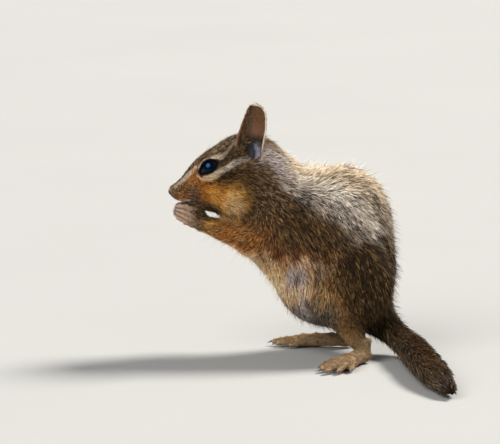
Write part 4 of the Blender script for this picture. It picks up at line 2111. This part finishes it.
@dataclass
class Coat:
    """The hairs over every part of the animal, in pieces."""

    groomer: Groomer
    pelt: Pelt
    most: int = 19000

    def bare(self, points: Array) -> Array:
        """How much of the coat grows at points: none on the eyes, lids, nose, lips, hands and in the ears."""
        keep = np.ones(len(points))
        for side in SIDES.values():
            centre = EyeFrame(side).axes()[0]
            keep *= ramp(np.linalg.norm(points - centre, axis=1), 4.75, 4.95)
            edge = -42.6 + 0.35 * (points[:, 2] - 50) + 1.5 * noise(points, 2.5, 77)
            keep *= np.where(hand(side).distance(*points.T) < 0.9, ramp(points[:, 0] - edge, -2.6, 1.2), 1)
        keep *= ramp(self.groomer.markings.slit(points), 0.3, 0.55)
        inner = self.groomer.body.at(points) + self.groomer.body.coat.depth(points)
        keep *= ramp(inner, -0.3, -0.12)
        hx, hy, hz = rolled(*points.T)
        here = np.column_stack([hx, hy, hz])
        keep *= ramp(np.linalg.norm((here - (-52.5, 0, 60.6)) / (1.9, 2.3, 1.6), axis=1), 0.85, 1.1)
        for ear in EARS.values():
            keep *= ramp(ear.hollow(hx, hy, hz), 0.15, 0.5)
        return keep * ramp(points[:, 2], 5.4, 6.6)

    def region(self, points: Array) -> Array:
        """The number of the region each point is in."""
        x, y, z = points.T
        trunk = TRUNK.distance(x, y, z)
        head = HEAD.distance(*rolled(x, y, z))
        arms = nearest(ARMS, x, y, z)
        legs = nearest(LEGS, x, y, z)
        _, angle = self.groomer.markings.spine.place(points)
        order = list(Region)
        found = np.full(len(points), order.index(Region.TRUNK))
        found[(angle > 119) & (x > -16)] = order.index(Region.BELLY)
        found[(x > 14) & (z < 50) & (angle < 119)] = order.index(Region.RUMP)
        found[x < -10] = order.index(Region.NECK)
        found[(x < -10) & (z < 56)] = order.index(Region.CHEST)
        found[legs < trunk] = order.index(Region.LEG)
        found[(head < trunk) & (x < -12)] = order.index(Region.CROWN)
        found[(head < trunk) & (x < -32)] = order.index(Region.FACE)
        found[(arms < trunk) & (arms < head)] = order.index(Region.ARM)
        return found

    def build(self, maker: Maker, hair: bpy.types.Material) -> None:
        """Grows all the coat and sets it in the frame as pieces."""
        skin = self.pelt.sheets["body"]
        tufts = self.groomer.over_body(skin, self.bare)
        where = self.region(tufts.roots)
        left = tufts.roots[:, 1] < 0
        for number, region in enumerate(Region):
            for side, half in (("left", left), ("right", ~left)):
                mine = np.flatnonzero((where == number) & half)
                mine = mine[np.argsort(tufts.patches[mine, 0], kind="stable")]
                parts = max(1, math.ceil(len(mine) / self.most))
                for part, chosen in enumerate(np.array_split(mine, parts)):
                    if len(chosen):
                        label = f"coat_{region.label}_{side}_{part + 1}"
                        maker.piece(label, tufts.chosen(chosen).sheet(), hair, region.slot)
        for name, ear in EARS.items():
            sheets = [t.sheet() for t in ear.coats(self.groomer, SEED + 7)]
            maker.piece(f"coat_ear_{name}", joined(sheets), hair, "face_coat")
        for name, pose in HIND.items():
            maker.piece(f"coat_foot_{name}", self.foot_coat(name, pose), hair, "face_coat")
        for name, side in SIDES.items():
            maker.piece(f"coat_hand_{name}", self.hand_coat(side), hair, "face_coat")
        brush = self.pelt.tail.coat(self.groomer, FULL_BRUSH, SEED + 3)
        maker.piece("coat_tail", brush.sheet(), hair, "tail_coat")

    def foot_coat(self, name: str, pose: HindPose) -> Sheet:
        """The short hair of one hind foot, laid towards the toes and down the heel."""
        sheet = self.pelt.sheets[f"foot_{name}"]
        way = np.array([-math.cos(pose.splay), pose.side * math.sin(pose.splay), 0.0])
        heel = np.array([*pose.heel, 0.0])

        def lie(p: Array) -> Array:
            """The way of the hairs."""
            steep = ramp((p - heel) @ way, 3.5, -0.5) * ramp(p[:, 2], 1.5, 4.5)
            return mixed(all_over(way, p), np.array([0, 0, -1.0]) + 0.3 * way, steep)

        def paint(p: Array) -> tuple[Array, Array, Array]:
            """A mottled tan."""
            base = mixed(all_over(Hue.TAN.light * 0.66, p), Hue.BUFF.light * 0.56, 0.5)
            base = mixed(base, Hue.BROWN.light * 0.8, 0.6 * ramp(noise(p, 2.4, 5), -0.3, 0.7))
            return base, even(p, 0.25), even(p, 0.12)

        def place(p: Array) -> Array:
            """The foot laid open, in the unit square."""
            along, across = (p - heel) @ way, (p - heel) @ np.array([-way[1], way[0], 0])
            return np.clip(np.column_stack([(along + 5) / 42, (across + p[:, 2] + 10) / 28]), 0, 1)

        tips = np.array([line[3] for line in toe_bones(pose)])
        near = np.min(np.linalg.norm(sheet.points[:, None] - tips[None], axis=2), 1)
        keep = ramp(sheet.points[:, 2], 0.5, 1.3) * ramp(sheet.normals()[:, 2], -0.75, -0.3)
        density = 10.0 * (keep * ramp(near, 0.9, 1.7)) * self.density()
        return self.groomer.over_form(sheet, lie, density, 1.5, 0.2, 0.15, paint, place, SEED + 11).sheet()

    def hand_coat(self, side: float) -> Sheet:
        """The short hair of the back of one hand."""
        body = self.pelt.sheets["body"]
        x = body.points[:, 0]
        on = (hand(side).distance(*body.points.T) < 0.9) & (body.points[:, 1] * side > 0)
        keep = on * ramp(body.normals()[:, 1] * side, -0.2, 0.3) * ramp(x, -50, -43) * ramp(x, -39, -41)

        def lie(p: Array) -> Array:
            """The way of the hairs."""
            return all_over(np.array([-0.75, 0, 0.65]), p)

        def paint(p: Array) -> tuple[Array, Array, Array]:
            """Tan, browner towards the wrist."""
            shade = mixed(all_over(Hue.TAN.light * 0.8, p), Hue.BROWN.light, ramp(p[:, 0], -46, -42))
            return shade, even(p, 0.3), even(p, 0.15)

        def place(p: Array) -> Array:
            """The hand laid open, in the unit square."""
            return np.clip(np.column_stack([(p[:, 0] + 54) / 16, (p[:, 2] - 42) / 20]), 0, 1)

        density = 14.0 * keep * self.density()
        return self.groomer.over_form(body, lie, density, 1.1, 0.2, 0.1, paint, place, SEED + 13).sheet()

    def density(self) -> float:
        """The share of the hairs that are grown while the looks are only tried."""
        return 1.0


@dataclass
class Studio:
    """A pale floor, soft lamps, and the camera of the view."""

    pixels_a_mm: float = 2.7
    middle: Triple = (-22.2, 0.0, 49.36)
    rise: float = math.radians(8)
    far: float = 1300.0
    sensor: float = 36.0
    image: int = 500
    floor_reach: float = 7.0
    lamps: tuple[tuple[str, Triple, float, float, Triple], ...] = (
        ("key", (0.85, 0.45, 1.05), 0.36, 6.6, (1.0, 0.965, 0.9)),
        ("fill", (-0.75, -1.15, 1.0), 0.72, 3.1, (1.0, 0.985, 0.95)),
    )
    room_tint: tuple[float, float, float, float] = (0.96, 0.975, 1.0, 1)
    room_power: float = 0.29

    def floor(self) -> None:
        """The floor, wide enough to fill the view from every side."""
        r = self.floor_reach
        mesh = bpy.data.meshes.new("floor")
        mesh.from_pydata([(-r, -r, 0), (r, -r, 0), (r, r, 0), (-r, r, 0)], [], [(0, 1, 2, 3)])
        mesh.materials.append(FloorFinish().make())
        made = bpy.data.objects.new("floor", mesh)
        bpy.context.scene.collection.objects.link(made)

    def lamp(self, name: str, place: Triple, spread: float, power: float, tint: Triple) -> None:
        """One wide far lamp that shines on the animal and evenly over the floor.

        Args:
            name: its name.
            place: where it shines from, next to the animal.
            spread: how wide it looks, as an angle.
            power: its strength.
            tint: its colour.
        """
        data = bpy.data.lights.new(name, "SUN")
        data.angle, data.energy, data.color = spread, power, tint
        made = bpy.data.objects.new(name, data)
        made.location = place
        made.rotation_euler = (-Vector(place)).to_track_quat("-Z", "Y").to_euler()
        bpy.context.scene.collection.objects.link(made)

    def light(self) -> None:
        """The lamps and the pale surroundings."""
        for lamp in self.lamps:
            self.lamp(*lamp)
        bpy.context.scene.view_settings.view_transform = "Standard"
        world = bpy.data.worlds.new("room")
        world.use_nodes = True
        sky = world.node_tree.nodes["Background"].inputs
        sky["Color"].default_value, sky["Strength"].default_value = self.room_tint, self.room_power
        bpy.context.scene.world = world

    def camera(self, maker: Maker) -> None:
        """The camera at the view's angle and scale."""
        data = bpy.data.cameras.new("camera")
        data.sensor_width = self.sensor
        data.lens = self.sensor * self.far / (self.image / self.pixels_a_mm)
        data.clip_start, data.clip_end = 0.05, 20
        made = bpy.data.objects.new("camera", data)
        back = np.array([0, -math.cos(self.rise), math.sin(self.rise)]) * self.far
        made.location = maker.place(np.array(self.middle) + back)
        made.rotation_euler = (math.pi / 2 - self.rise, 0, 0)
        bpy.context.scene.collection.objects.link(made)
        bpy.context.scene.camera = made


def whiskers(maker: Maker, horn: bpy.types.Material) -> None:
    """The whiskers of the muzzle, over the eyes and behind the wrists."""
    rng = np.random.default_rng(SEED + 1)
    roots, ways, sizes, colours = [], [], [], []
    for side in SIDES.values():
        for row in range(4):
            for place in range(4):
                root = np.array([-47.2 + 1.35 * place, 4.4 + 0.35 * place, 61.6 - 1.05 * row])
                way = np.array([0.15 + 0.4 * place + 0.1 * row, 1.05, 0.35 - 0.28 * row])
                roots.append(posed((root * (1, side, 1))[None])[0])
                ways.append(unit(way * (1, side, 1) + 0.12 * rng.normal(size=3)))
                sizes.append(0.8 + 0.32 * place)
                colours.append(tone(58, 46, 38) if place > 1 else tone(120, 104, 90))
        for place in range(2):
            roots.append(posed(np.array([[-39.5 + 1.5 * place, side * 8.6, 74.2]]))[0])
            ways.append(unit(np.array([0.35 + 0.3 * place, side * 0.8, 0.75])))
            sizes.append(0.85)
            colours.append(tone(60, 48, 40))
        for place in range(9):
            roots.append(np.array([-36.5 + 1.7 * place, side * (7.5 + 0.3 * place), 45.5 - 0.9 * place]))
            way = np.array([-0.75 + 0.05 * place, side * 0.25, -0.75])
            ways.append(unit(way + 0.15 * rng.normal(size=3)))
            sizes.append(rng.uniform(0.45, 0.85))
            colours.append(tone(208, 196, 160))
    body = Body()
    placed = settled(body.at, np.array(roots), 8, 1.5)
    carried = (np.array(ways), np.array(sizes), np.array(colours))
    Bristles("whiskers").grow(maker, placed, *carried, "face_coat", horn)


def main() -> None:
    """Builds the animal, dresses it and sets the studio."""
    logging.basicConfig(level=logging.INFO, format="%(message)s")
    maker = Maker()
    maker.fit()
    body, markings, tail = Body(), Markings(), Tail()
    pelt = Pelt(body, markings, tail, *FULL_GRID)
    flesh = [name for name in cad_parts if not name.startswith("eye")]
    skin = SkinFinish().make()
    maker.piece("skin", pelt.build(), skin, "skin", flesh)
    wet, rims = EyeFinish().make(), HornFinish("lid_rim", 0.7, 0.06).make()
    horn, hair = HornFinish("claw_horn").make(), HairFinish("hair").make()
    for name, side in SIDES.items():
        maker.piece(f"eyeball_{name}", Eyes().ball(side), wet, "eye", [f"eye_{name}"])
        maker.piece(f"lid_rim_{name}", Eyes().lid(side), rims, "eye")
    maker.piece("claws", Claws().sheet(), horn, "skin")
    whiskers(maker, HornFinish("whisker_horn", 0.4).make())
    groomer = Groomer(body, markings, overlap=FULL_OVERLAP)
    Coat(groomer, pelt).build(maker, hair)
    studio = Studio()
    studio.floor()
    studio.light()
    studio.camera(maker)


if __name__ == "__main__":
    main()
